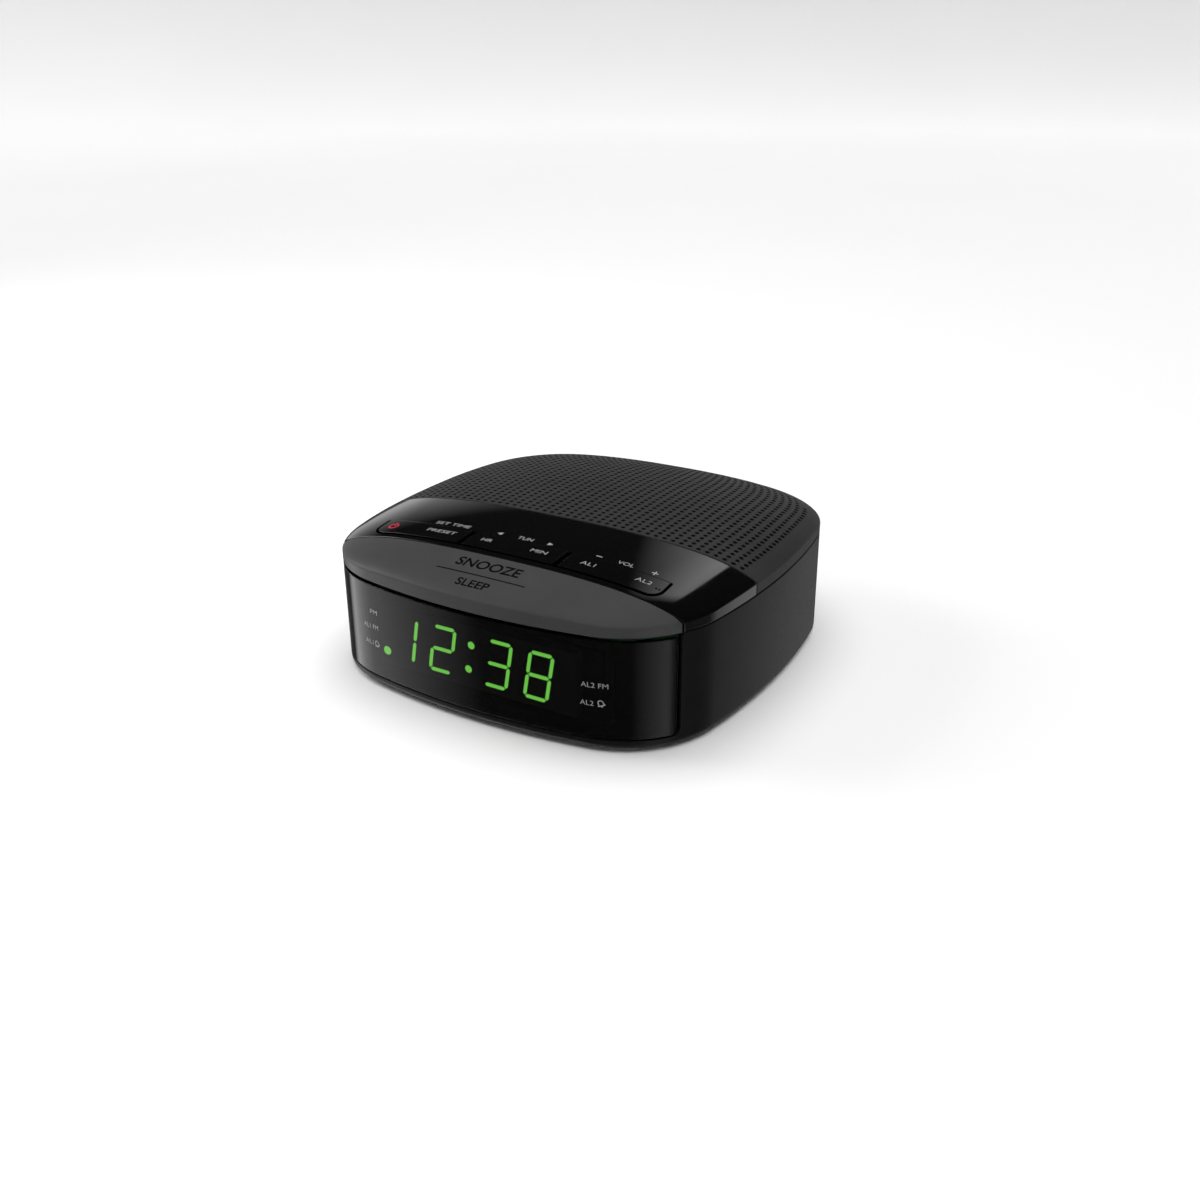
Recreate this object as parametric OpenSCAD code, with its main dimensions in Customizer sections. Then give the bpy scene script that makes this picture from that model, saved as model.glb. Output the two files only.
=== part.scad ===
// Bedside clock radio: rounded-square body with a perforated crown over the speaker,
// a glossy control band with three rocker keys, a snooze bar and a smoked display lens.
// Millimetres. X to the right, Y to the back, Z up, origin on the table under the middle.

/* [Body] */
// Width of the body, side to side
body_w = 132; // [130:0.5:134]
// Depth of the body, front to back
body_d = 130.5; // [129:0.5:132]
// Height from the table to the top of the crown
body_h = 46.5; // [46:0.5:48]
// Height of the seam between the base and the top mouldings
seam_h = 34.6; // [34.4:0.1:34.8]
// Wall thickness of the mouldings
wall = 2.2; // [2:0.1:2.4]
// Radius of the four corners in plan
corner_r = 32; // [30:1:34]
// Radius of the bowed front and back
front_bow_r = 206; // [196:2:220]
// Radius of the bowed sides
side_bow_r = 224; // [210:2:250]
// Height of the rounded edge under the body
foot_edge = 2; // [1.5:0.1:2.5]

/* [Crown] */
// How far the crown has fallen at the sides
fall_x = 5.9; // [5:0.1:6.5]
// How far the crown has fallen at the front and back
fall_y = 5.7; // [5:0.1:6.5]
// Exponent of the crown's curve: 2 is a plain arch, more is flatter in the middle
crown_power = 2.75; // [2.2:0.05:3]
// Width of the soft edge round the crown
edge_w = 19.5; // [18:0.5:20]
// Height of the soft edge round the crown
edge_h = 2.6; // [2.2:0.1:3]

/* [Top pieces] */
// Where the grille ends and the control band starts
band_rear_y = -15; // [-16:0.5:-14]
// Where the control band ends and the snooze bar starts
snooze_rear_y = -47; // [-47.5:0.5:-46.5]
// Gap between neighbouring mouldings
part_gap = 0.35; // [0.3:0.05:0.4]
// Travel of the snooze bar
snooze_travel = 0.8; // [0.5:0.1:0.8]
// Half the width of the row of three keys
keys_half_w = 49; // [48:0.5:50]
// Back edge of the keys
key_rear_y = -35.7; // [-36:0.1:-35.4]
// Depth of a key, front to back
key_d = 8.3; // [8:0.1:8.6]
// Gap between two keys
key_split = 1.9; // [1.6:0.1:2.2]
// Slot in front of the keys
key_slot = 1.1; // [0.9:0.1:1.3]

/* [Grille] */
// Spacing of the sound holes across
hole_pitch_x = 2.8; // [2.7:0.05:3]
// Spacing of the sound holes front to back
hole_pitch_y = 2.4; // [2.3:0.05:2.6]
// Diameter of a sound hole
hole_d = 1.3; // [1.1:0.1:1.4]

/* [Display] */
// Width of the display module's face
display_w = 68.4; // [66:0.2:69]
// Height of the display module's face
display_h = 19.5; // [19:0.1:19.8]
// Height of its lower edge above the table
display_low = 8.7; // [8.4:0.1:9.2]
// Height of a digit
digit_h = 15.2; // [14.6:0.1:15.6]
// Lean of the digits, in degrees
digit_lean = 10; // [8:0.5:12]
// Thickness of the lens
lens_t = 2; // [1.8:0.1:2.2]
// Lower edge of the lens above the table
lens_low = 4; // [3.8:0.1:4.4]
// Half the width of the lens, seen from the front
lens_half_w = 58.5; // [57:0.5:59]

/* [Speaker] */
// Outer diameter of the speaker
speaker_d = 57; // [55:0.5:58]
// Place of the speaker's axis, front to back
speaker_y = 23; // [22.5:0.5:23.5]

/* [Hidden] */

foot_h = 1;
foot_d = 12;
base_low = foot_h;
floor_top = base_low + wall;
big = 200;
fit_gap = 0.2;
snooze_low = seam_h + 0.1;
lens_top = snooze_low - snooze_travel - 0.3;
lens_corner_r = 2.2;
key_front_y = key_rear_y - key_d;
key_w = (2 * keys_half_w - 2 * key_split) / 3;
key_step = key_w + key_split;
key_corner_r = 3.6;
key_end_gap = 0.8;
key_axis_z = 37.4;
key_axis_y = key_rear_y - key_d / 2;
key_pin_d = 2;
key_lug_t = 2.8;
frame_lug_t = 2;
lug_half_w = 3.5;
lug_gap = 0.3;
pin_clearance = 0.05;
frame_z = 33;
frame_t = 1.6;
board_t = 1.6;
key_board_z = frame_z - board_t;
switch_top = frame_z + 5;
switch_side = 6;
switch_x = 11;
key_button_gap = 0.35;
post_d = 4;
post_clearance = 0.08;
post_x = 32;
post_y = -52.6;
guide_top = 37.2;
spring_top = 38.4;
spring_r = 4.3;
spring_wire = 0.6;
speaker_z = 39;
magnet_d = 32;
magnet_h = 10;
basket_h = 13;
display_y = -61.2;
display_depth = 7;
display_board_y = display_y + display_depth;
display_mid = display_low + display_h / 2 - 0.1;
bar_t = 1.4;
cell_w = 8.4;
digit_pitch = 13.7;
// the digits sit a little left of the middle
digits_x = -1.5;
digit_centres = [for (s = [-1, 1]) for (k = [0, 1]) digits_x + s * (9.7 + k * digit_pitch)];
lamp_x = 32;
main_board_z = 9;
screw_d = 3;
screw_bore_d = 2.5;
boss_d = 8;
rear_boss = [22, 56.2];
front_boss = [56.6, -21];
bay_x = [-50.5, -2.5];
bay_y = [-41, -19];
cell_y = [bay_y[0] + 5.5, bay_y[1] - 5.5];
cell_z = 8.6;
bay_roof = 14.4;
door_slide = 8;
cell_d = 10.5;
cell_l = 44.5;
ledge_z = 2.6;
board_posts = [[-10, -7], [46, -7], [-10, 42], [46, 42]];
frame_bosses = [[-51, -29], [51, -29], [-17, -28], [17, -28]];
board_bosses = [[-24, -49], [24, -49]];
transformer_at = [-41, 26];
bracket_holes = [for (s = [-1, 1]) [transformer_at.x, transformer_at.y + s * 16.5]];
feet_at = [for (sx = [-1, 1]) for (sy = [-1, 1]) [44 * sx, 50 * sy]];
cord_at = [-36, 11];
antenna_at = [34, 11];
function back_y(x) = body_d / 2 - front_bow_r + sqrt(front_bow_r * front_bow_r - x * x);

// Points of the outline in plan, drawn in by inset: each side is one long bow and each
// corner one arc, and the arcs meet on a common tangent.
function bows_meet(c0, r0, c1, r1) =
    let (d = norm(c1 - c0))
    let (u = (c1 - c0) / d)
    let (a = (r0 * r0 - r1 * r1 + d * d) / (2 * d))
    c0 + a * u + sqrt(r0 * r0 - a * a) * [u.y, -u.x];
function arc_points(c, r, a0, a1, steps) =
    [for (i = [0:steps - 1]) let (a = a0 + (a1 - a0) * i / steps) c + r * [cos(a), sin(a)]];
bow_c = [0, body_d / 2 - front_bow_r];
side_c = [body_w / 2 - side_bow_r, 0];
corner_c = bows_meet(bow_c, front_bow_r - corner_r, side_c, side_bow_r - corner_r);
side_end = atan2(corner_c.y - side_c.y, corner_c.x - side_c.x);
bow_start = atan2(corner_c.y - bow_c.y, corner_c.x - bow_c.x);
function quarter(inset) = concat(
    arc_points(side_c, side_bow_r - inset, 0, side_end, 3),
    arc_points(corner_c, corner_r - inset, side_end, bow_start, 8),
    arc_points(bow_c, front_bow_r - inset, bow_start, 90, 4),
    [[0, body_d / 2 - inset]]
);
function outline(inset) =
    let (q = quarter(inset))
    let (n = len(q))
    concat(
        q,
        [for (i = [n - 2:-1:0]) [-q[i].x, q[i].y]],
        [for (i = [1:n - 1]) -q[i]],
        [for (i = [n - 2:-1:1]) [q[i].x, -q[i].y]]
    );

// Height of the crown over a point of the plan, and the rings that the crown is lofted from
function crown_z(p) = body_h - fall_x * pow(abs(p.x) / (body_w / 2), crown_power)
    - fall_y * pow(abs(p.y) / (body_d / 2), crown_power);
function edge_ring(t, thick) =
    [for (p = outline(thick + (edge_w - thick) * (1 - cos(t))))
        [p.x, p.y, crown_z(p) - thick - edge_h * (1 - sin(t))]];
function inner_ring(s, thick) =
    [for (p = outline(edge_w)) [p.x * s, p.y * s, crown_z(p * s) - thick]];
function level_ring(inset, z) = [for (p = outline(inset)) [p.x, p.y, z]];
function crown_rings(thick, low) = concat(
    [for (s = [0.25, 0.5, 0.75]) inner_ring(s, thick)],
    [for (t = [90, 66, 46, 30, 15, 0]) edge_ring(t, thick)],
    [level_ring(thick, low)]
);
function reversed(list) = [for (i = [len(list) - 1:-1:0]) list[i]];
function flat(lists) = [for (l = lists) for (x = l) x];

// Closed skin over a stack of rings that starts and ends in a single point
module skin(rings, first, last) {
    n = len(rings[0]);
    m = len(rings);
    end = n * m + 1;
    sides = [for (k = [0:m - 2]) for (i = [0:n - 1])
        let (j = (i + 1) % n)
        let (a = 1 + k * n + i)
        let (b = 1 + k * n + j)
        [[a, b, b + n], [a, b + n, a + n]]];
    first_fan = [for (i = [0:n - 1]) [0, 1 + (i + 1) % n, 1 + i]];
    last_fan = [for (i = [0:n - 1]) [end, end - n + i, end - n + (i + 1) % n]];
    polyhedron(
        points = concat([first], flat(rings), [last]),
        faces = concat(first_fan, flat(sides), last_fan)
    );
}

// Thin crown with its skirt down to low, and the space that the crown encloses
module crown_shell(low) {
    skin(
        concat(crown_rings(0, low), reversed(crown_rings(wall, low))),
        [0, 0, body_h],
        [0, 0, body_h - wall]
    );
}
module crown_block(thick, low) {
    skin(crown_rings(thick, low), [0, 0, body_h - thick], [0, 0, low]);
}

// Box between two depths, as wide and tall as anything here
module depth_slab(y0, y1) {
    translate([-big / 2, y0, -big / 2]) cube([big, y1 - y0, big]);
}

module linear_extrude_at(z, h) {
    translate([0, 0, z]) linear_extrude(h) children();
}

module plate(outer, inner, z0, z1) {
    linear_extrude_at(z0, z1 - z0)
        difference() {
            polygon(outline(outer));
            polygon(outline(inner));
        }
}

module post(p, d, z0, z1) {
    translate([p.x, p.y, z0]) cylinder(d = d, h = z1 - z0, $fn = 32);
}

module box(lo, hi) {
    translate(lo) cube(hi - lo);
}

// Rod along Y
module rod_y(x, z, d, y0, y1) {
    translate([x, y0, z]) rotate([-90, 0, 0]) cylinder(d = d, h = y1 - y0, $fn = 32);
}

// Rod along X
module rod_x(y, z, d, x0, x1) {
    translate([x0, y, z]) rotate([0, 90, 0]) cylinder(d = d, h = x1 - x0, $fn = 32);
}

// Front window shape, with rounded lower corners, as a prism through the front
module window_prism(grow) {
    w = lens_half_w + grow;
    low = lens_low - grow;
    r = lens_corner_r + grow;
    box([-w, -big, low + r], [w, -20, 60]);
    box([-w + r, -big, low], [w - r, -20, 60]);
    for (sx = [-1, 1]) rod_y(sx * (w - r), low + r, 2 * r, -big, -20);
}

// Base tub with a rounded lower edge, and its walls
module tub_solid() {
    mid = 0.29 * foot_edge;
    rings = [
        level_ring(0, seam_h),
        level_ring(0, base_low + foot_edge),
        level_ring(mid, base_low + mid),
        level_ring(foot_edge, base_low)
    ];
    skin(rings, [0, 0, seam_h], [0, 0, base_low]);
}
module tub_walls() {
    difference() {
        tub_solid();
        linear_extrude_at(floor_top, big) polygon(outline(wall));
    }
}

// Closed back-up battery bay: outside walls, and the space inside
module bay_outside() {
    side = 2.6;
    end = 1.5;
    box([bay_x[0] - end, bay_y[0] - side, base_low], [bay_x[1] + end, bay_y[1] + side, bay_roof + end]);
    // thicker floor that the door slides under
    track_end = bay_x[1] + door_slide + 4;
    box([bay_x[1], bay_y[0] - side, base_low], [track_end, bay_y[1] + side, floor_top + 1.2]);
}
module bay_inside() {
    track_x = [bay_x[0] - 1, bay_x[1] + 1.4 + door_slide];
    box([bay_x[0], bay_y[0], -1], [bay_x[1], bay_y[1], bay_roof]);
    // shallow track that the door slides in, with an undercut along each side
    box([track_x[0], bay_y[0] - 1, -1], [track_x[1], bay_y[1] + 1, ledge_z]);
    box([track_x[0], bay_y[0] - 2, 1.7], [track_x[1], bay_y[1] + 2, ledge_z]);
}

module screw_column(p, top) {
    post(p, boss_d, base_low, top);
}
module screw_well(p, top) {
    post(p, 6.2, -1, top - 6);
    post(p, screw_d + 0.4, 0, top + 1);
}

module base_shell() {
    color("#2b2c2e")
        difference() {
            union() {
                tub_walls();
                // lip that the top mouldings drop over
                intersection() {
                    union() {
                        plate(wall - 0.6, wall + 1.4, seam_h - 3.5, seam_h);
                        plate(wall + 0.3, wall + 1.4, seam_h - 3.5, seam_h + 1.6);
                    }
                    depth_slab(-40, big);
                }
                for (sx = [-1, 1]) {
                    screw_column([sx * rear_boss.x, rear_boss.y], 29.8);
                    screw_column([sx * front_boss.x, front_boss.y], 29.8);
                }
                for (p = board_posts) post(p, 7, base_low, main_board_z);
                for (p = bracket_holes) post(p, 7, base_low, 5);
                bay_outside();
                // grooved ribs that hold the display board by its ends
                for (x = [-44, 39])
                    box([x, display_board_y - 1, base_low], [x + 5, display_board_y + board_t + 1.4, 16]);
            }
            window_prism(part_gap / 2);
            // the walls beside the lens stay clear of the snooze bar when it is pressed
            box([-big, -big, lens_top], [big, snooze_rear_y + part_gap, big]);
            bay_inside();
            for (sx = [-1, 1]) {
                screw_well([sx * rear_boss.x, rear_boss.y], 29.8);
                screw_well([sx * front_boss.x, front_boss.y], 29.8);
            }
            for (p = board_posts) post(p, screw_bore_d, 3.4, main_board_z + 1);
            for (p = bracket_holes) post(p, screw_bore_d, 2.6, 6);
            box([-41, display_board_y - 0.1, 4.9], [41, display_board_y + board_t + 0.1, 30]);
            for (p = feet_at) post(p, foot_d + 0.4, -1, base_low + 0.9);
            rod_y(cord_at.x, cord_at.y, 9, 50, 80);
            rod_y(antenna_at.x, antenna_at.y, 5, 50, 80);
            // vent slots under the transformer
            for (i = [0:6]) box([-58 + i * 5, 18.5, 0], [-56 + i * 5, 38, floor_top + 1]);
        }
}

module top_cover() {
    color("#3c3d3f")
        difference() {
            union() {
                intersection() {
                    crown_shell(seam_h + part_gap);
                    depth_slab(band_rear_y + part_gap / 2, big);
                }
                intersection() {
                    union() {
                        for (sx = [-1, 1]) post([sx * rear_boss.x, rear_boss.y], 7, 30, 60);
                        speaker_collar();
                    }
                    crown_block(wall - 0.4, 20);
                }
            }
            sound_holes();
            for (sx = [-1, 1]) post([sx * rear_boss.x, rear_boss.y], screw_bore_d, 20, 38);
        }
}

module speaker_collar() {
    translate([0, speaker_y, speaker_z - 2])
        difference() {
            cylinder(d = speaker_d + 4, h = 20, $fn = 64);
            translate([0, 0, -1]) cylinder(d = speaker_d + 0.6, h = 30, $fn = 64);
        }
}

// Sound holes over the speaker, clear of the collar round it
module sound_holes() {
    reach = speaker_d / 2 - 3;
    nx = floor(reach / hole_pitch_x);
    ny = floor(reach / hole_pitch_y);
    for (i = [-nx:nx]) for (j = [-ny:ny])
        if (norm([i * hole_pitch_x, j * hole_pitch_y]) < reach)
            translate([i * hole_pitch_x, speaker_y + j * hole_pitch_y, 40])
                cylinder(d = hole_d, h = 10, $fn = 16);
}

// Plan of one key: end is -1 or 1 for a rounded outer end, 0 for the middle key
module key_plan(end, grow) {
    w = key_w / 2 + grow;
    y0 = -key_d / 2 - grow;
    y1 = key_d / 2 + grow;
    r = key_corner_r + grow;
    if (end == 0) {
        translate([-w, y0]) square([2 * w, y1 - y0]);
    } else {
        translate([-w, y0 + r]) square([2 * w, y1 - y0 - r]);
        translate([end > 0 ? -w : -w + r, y0]) square([2 * w - r, r + 0.01]);
        translate([end * (w - r), y0 + r]) circle(r, $fn = 32);
    }
}

module key(end) {
    color("#0c0c0e")
        translate([end * key_step, 0, 0])
            difference() {
                union() {
                    intersection() {
                        translate([-end * key_step, 0, 0]) crown_shell(seam_h);
                        translate([0, key_axis_y, 37]) linear_extrude(20) key_plan(end, 0);
                    }
                    intersection() {
                        union() {
                            box(
                                [-lug_half_w, key_axis_y - key_lug_t / 2, key_axis_z - 1.7],
                                [lug_half_w, key_axis_y + key_lug_t / 2, 50]
                            );
                            for (sx = [-1, 1])
                                post([sx * switch_x, key_axis_y], 3, switch_top + key_button_gap, 50);
                        }
                        translate([-end * key_step, 0, 0]) crown_block(wall - 0.4, 20);
                    }
                }
                rod_y(0, key_axis_z, key_pin_d + 2 * pin_clearance, key_axis_y - 5, key_axis_y + 5);
            }
}

module power_key() {
    key(-1);
}
module tuning_key() {
    key(0);
}
module volume_key() {
    key(1);
}

// Opening for the row of keys, with the slot in front and round the ends
module keys_opening() {
    x1 = keys_half_w + key_end_gap;
    y0 = key_front_y - key_slot;
    y1 = key_rear_y + part_gap;
    r = key_corner_r + (key_end_gap + key_slot) / 2;
    translate([0, 0, 30]) linear_extrude(30) {
        translate([-x1, y0 + r]) square([2 * x1, y1 - y0 - r]);
        translate([-x1 + r, y0]) square([2 * (x1 - r), r + 0.01]);
        for (sx = [-1, 1]) translate([sx * (x1 - r), y0 + r]) circle(r, $fn = 32);
    }
}

module control_panel() {
    color("#0c0c0e")
        difference() {
            union() {
                intersection() {
                    crown_shell(seam_h + part_gap);
                    depth_slab(snooze_rear_y + part_gap / 2, band_rear_y - part_gap / 2);
                }
                intersection() {
                    union() {
                        for (sx = [-1, 1]) post([sx * front_boss.x, front_boss.y], 7, 30, 60);
                        for (p = frame_bosses) post(p, 5.5, frame_z + frame_t, 60);
                    }
                    crown_block(wall - 0.4, 20);
                }
            }
            keys_opening();
            for (sx = [-1, 1]) post([sx * front_boss.x, front_boss.y], screw_bore_d, 20, 37);
            for (p = frame_bosses) post(p, 1.8, 30, 39.5);
        }
}

module snooze_bar() {
    color("#4a4b4d") {
        intersection() {
            crown_shell(snooze_low);
            depth_slab(-big, snooze_rear_y - part_gap / 2);
        }
        intersection() {
            union() {
                for (sx = [-1, 1]) {
                    post([sx * post_x, post_y], post_d, frame_z + frame_t + 1.2, 60);
                    post([sx * post_x, post_y], 2 * spring_r + 1.4, spring_top, 60);
                }
                post([0, post_y], 3.4, switch_top + snooze_travel + 0.1, 60);
            }
            crown_block(wall - 0.4, 20);
        }
    }
}

// Bowed smoked lens, flat inside where the display module stands behind it
module front_lens() {
    back = display_y - 0.3;
    lo = [-display_w / 2 - 0.4, back, display_low - 0.4];
    hi = [display_w / 2 + 0.4, back + 6, display_low + display_h + 0.4];
    color("#101214")
        difference() {
            intersection() {
                union() {
                    plate(0, lens_t, lens_low, lens_top);
                    intersection() {
                        linear_extrude_at(lens_low, lens_top - lens_low) polygon(outline(0));
                        box([lo.x, -big, lo.z], [hi.x, back, hi.z]);
                    }
                }
                window_prism(-part_gap / 2);
            }
            box(lo, hi);
        }
}

module battery_door() {
    x = [bay_x[0] - 0.7, bay_x[1] + 0.9];
    top = ledge_z - 0.15;
    color("#2b2c2e")
        difference() {
            union() {
                box([x[0], bay_y[0] - 0.8, base_low + 0.1], [x[1], bay_y[1] + 0.8, top]);
                box([x[0], bay_y[0] - 1.8, 1.85], [x[1], bay_y[1] + 1.8, top]);
            }
            // finger grooves
            for (i = [0:3]) box([-8 + i * 1.6, -35, 0], [-7.2 + i * 1.6, -25, base_low + 0.6]);
        }
}

module rubber_feet() {
    color("#1a1a1a")
        for (p = feet_at) {
            post(p, foot_d - 1, 0, base_low + 0.4);
            post(p, foot_d, base_low, base_low + 0.9);
        }
}

// Bush through the back wall, flanged inside, with a passage for a lead
module bush(at, shaft_d, flange_d, bore_d) {
    outer = back_y(at.x);
    inner = outer - wall;
    difference() {
        union() {
            rod_y(at.x, at.y, shaft_d, inner - 3, outer + 1.2);
            rod_y(at.x, at.y, flange_d, inner - 3, inner - 1.5);
        }
        rod_y(at.x, at.y, bore_d, 0, 90);
    }
}
module cord_inlet() {
    color("#161616") bush(cord_at, 8.8, 11, 5.4);
}
module antenna_inlet() {
    color("#161616") bush(antenna_at, 4.8, 7, 1.8);
}

// One bar of a digit, with pointed ends, lying along X
module bar(length, thick) {
    h = thick / 2;
    l = length / 2;
    polygon([[-l, 0], [-l + h, h], [l - h, h], [l, 0], [l - h, -h], [-l + h, -h]]);
}

module digit_bars(inset) {
    bar_v = digit_h / 2 - bar_t / 2;
    for (k = [-1, 0, 1])
        translate([0, k * bar_v]) bar(cell_w - bar_t - inset, bar_t);
    for (sx = [-1, 1]) for (sy = [-1, 1])
        translate([sx * (cell_w - bar_t) / 2, sy * bar_v / 2]) rotate(90) bar(bar_v - inset, bar_t);
}

// Flat pattern of the display's lit areas, raised on the display's face
module display_solid(y0, y1) {
    translate([0, y1, display_mid]) rotate([90, 0, 0]) linear_extrude(y1 - y0) children();
}

module slanted(x) {
    multmatrix([[1, tan(digit_lean), 0, x], [0, 1, 0, 0], [0, 0, 1, 0], [0, 0, 0, 1]]) children();
}

module display_housing() {
    color("#3a3b3c")
        box(
            [-display_w / 2, display_y, display_low],
            [display_w / 2, display_y + display_depth, display_low + display_h]
        );
}

module digit_segments() {
    color("#7be04a")
        display_solid(display_y - 0.1, display_y) {
            for (x = digit_centres) slanted(x) digit_bars(0.35);
            for (sy = [-1, 1]) translate([digits_x + sy * 3.9 * tan(digit_lean), sy * 3.9]) circle(d = 2.4, $fn = 24);
        }
}

// Three lamps to the left of the digits and two to the right
module status_lamps() {
    color("#7be04a")
        display_solid(display_y - 0.1, display_y) {
            for (z = [-5.4, 0, 4.8]) translate([-lamp_x, z]) circle(d = 2.6, $fn = 24);
            for (z = [-5.4, 0]) translate([lamp_x, z]) circle(d = 2.6, $fn = 24);
        }
}

module display_board() {
    color("#3e5a32")
        box([-40.8, display_board_y, 5], [40.8, display_board_y + board_t, 29.5]);
}

module light_mask() {
    color("#101010")
        difference() {
            box([-41, display_y + 2.8, lens_low + 0.6], [41, display_y + 4, 29]);
            box(
                [-display_w / 2 - fit_gap, -big, display_low - fit_gap],
                [display_w / 2 + fit_gap, 0, display_low + display_h + fit_gap]
            );
        }
}

// Flat flexible ribbon from the display board down and back to the main board
module display_ribbon() {
    y0 = display_board_y + board_t;
    z0 = main_board_z + board_t;
    color("#c9c4b4")
        translate([6, 0, 0])
            rotate([90, 0, 90])
                linear_extrude(18)
                    polygon([
                        [y0, 24], [y0 + 3, 24], [y0 + 4, 23], [y0 + 4, 18],
                        [-14, 16], [-11, 16], [-9, z0 + 4], [-9, z0], [-9.4, z0],
                        [-9.4, z0 + 3.6], [-11.3, 15.6], [-14, 15.6],
                        [y0 + 3.6, 17.5], [y0 + 3.6, 22.8], [y0 + 2.8, 23.6], [y0, 23.6]
                    ]);
}

module frame_lug(k, side) {
    near = key_lug_t / 2 + lug_gap;
    far = near + frame_lug_t;
    box(
        [k * key_step - lug_half_w, key_axis_y + (side > 0 ? near : -far), frame_z],
        [k * key_step + lug_half_w, key_axis_y + (side > 0 ? far : -near), key_axis_z + 1.6]
    );
}

module key_frame() {
    color("#1c1c1d")
        difference() {
            union() {
                linear_extrude_at(frame_z, frame_t)
                    polygon([[-56, -26], [-56, -43], [-44, -56], [44, -56], [56, -43], [56, -26]]);
                for (k = [-1, 0, 1]) for (side = [-1, 1]) frame_lug(k, side);
                for (sx = [-1, 1]) post([sx * post_x, post_y], 6.6, frame_z, guide_top);
            }
            for (k = [-1, 0, 1]) {
                rod_y(k * key_step, key_axis_z, key_pin_d, key_axis_y - 4, key_axis_y + 4);
                for (sx = [-1, 1]) switch_hole([k * key_step + sx * switch_x, key_axis_y]);
            }
            switch_hole([0, post_y]);
            for (sx = [-1, 1]) post([sx * post_x, post_y], post_d + 2 * post_clearance, 20, 50);
            for (p = frame_bosses) post(p, 2.4, 20, 50);
            for (p = board_bosses) post(p, 1.8, 20, 50);
        }
}

module switch_hole(p) {
    s = switch_side / 2 + 0.4;
    box([p.x - s, p.y - s, frame_z - 1], [p.x + s, p.y + s, frame_z + frame_t + 1]);
}

module key_pins() {
    color("#b8bcc0")
        for (k = [-1, 0, 1]) rod_y(k * key_step, key_axis_z, key_pin_d, key_axis_y - 3.6, key_axis_y + 3.6);
}

module key_board() {
    color("#3e5a32")
        difference() {
            linear_extrude_at(key_board_z, board_t)
                polygon([[-54, -32], [-54, -43], [-44, -55.5], [44, -55.5], [54, -43], [54, -32]]);
            for (sx = [-1, 1]) post([sx * post_x, post_y], 6, 0, 50);
            for (p = board_bosses) post(p, 2.4, 0, 50);
        }
}

module tact_switches() {
    places = concat(
        [for (k = [-1, 0, 1]) for (sx = [-1, 1]) [k * key_step + sx * switch_x, key_axis_y]],
        [[0, post_y]]
    );
    color("#2a2a2c")
        for (p = places) {
            box(
                [p.x - switch_side / 2, p.y - switch_side / 2, frame_z],
                [p.x + switch_side / 2, p.y + switch_side / 2, frame_z + 3.6]
            );
            post(p, 3.2, frame_z, switch_top);
        }
}

// Compression spring: a round wire swept along a helix
module coil_spring(r, wire, z0, z1, turns) {
    sides = 8;
    steps = turns * 16;
    function wire_ring(k) =
        let (a = 360 * turns * k / steps)
        let (z = z0 + wire / 2 + (z1 - z0 - wire) * k / steps)
        [for (i = [0:sides - 1])
            let (b = 360 * i / sides)
            let (q = r + wire / 2 * cos(b))
            [q * cos(a), q * sin(a), z + wire / 2 * sin(b)]];
    rings = [for (k = [0:steps]) wire_ring(k)];
    n = sides;
    sides_f = [for (k = [0:steps - 1]) for (i = [0:n - 1])
        let (j = (i + 1) % n)
        [[k * n + i, k * n + j, k * n + j + n], [k * n + i, k * n + j + n, k * n + i + n]]];
    start = [for (i = [n - 1:-1:0]) i];
    finish = [for (i = [0:n - 1]) steps * n + i];
    polyhedron(points = flat(rings), faces = concat([start], flat(sides_f), [finish]));
}

module snooze_springs() {
    color("#c4c8cc")
        for (sx = [-1, 1])
            translate([sx * post_x, post_y, 0])
                coil_spring(spring_r, spring_wire, frame_z + frame_t, spring_top, 3);
}

module main_board() {
    color("#3e5a32")
        difference() {
            box([-14, -11, main_board_z], [50, 46, main_board_z + board_t]);
            for (p = board_posts) post(p, 3.4, 0, 20);
        }
}

module tuner_chips() {
    z = main_board_z + board_t;
    color("#1b1b1d") {
        box([20, 2, z], [38, 9, z + 2.4]);
        box([-4, 4, z], [6, 10, z + 2]);
        box([30, 20, z], [36, 26, z + 1.6]);
    }
}

module board_capacitors() {
    z = main_board_z + board_t;
    color("#24305a") {
        post([41, 33], 8, z, z + 12);
        post([43, 22], 6.3, z, z + 11);
        post([22, 40], 5, z, z + 6);
        post([12, 42], 5, z, z + 6);
        post([43, 12], 5, z, z + 9);
    }
}

module tuning_coils() {
    z = main_board_z + board_t;
    color("#b9bcc0")
        for (x = [4, 14, 24])
            difference() {
                box([x, -8, z], [x + 7, -1, z + 7]);
                post([x + 3.5, -4.5], 3, z + 6, z + 8);
            }
}

module speaker_basket() {
    low = speaker_z - basket_h;
    cone_h = basket_h - 1;
    color("#8d9094")
        translate([0, speaker_y, 0])
            difference() {
                union() {
                    post([0, 0], speaker_d, speaker_z - 1.2, speaker_z);
                    translate([0, 0, low]) cylinder(d1 = 30, d2 = 52, h = cone_h, $fn = 48);
                }
                translate([0, 0, low + 1.2]) cylinder(d1 = 28.5, d2 = 51, h = cone_h, $fn = 48);
                post([0, 0], 14, 0, 60);
            }
}

module speaker_magnet() {
    top = speaker_z - basket_h;
    color("#3b3d40")
        translate([0, speaker_y, 0])
            difference() {
                post([0, 0], magnet_d, top - magnet_h, top);
                post([0, 0], 13.6, top - magnet_h + 3, 60);
            }
}

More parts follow.
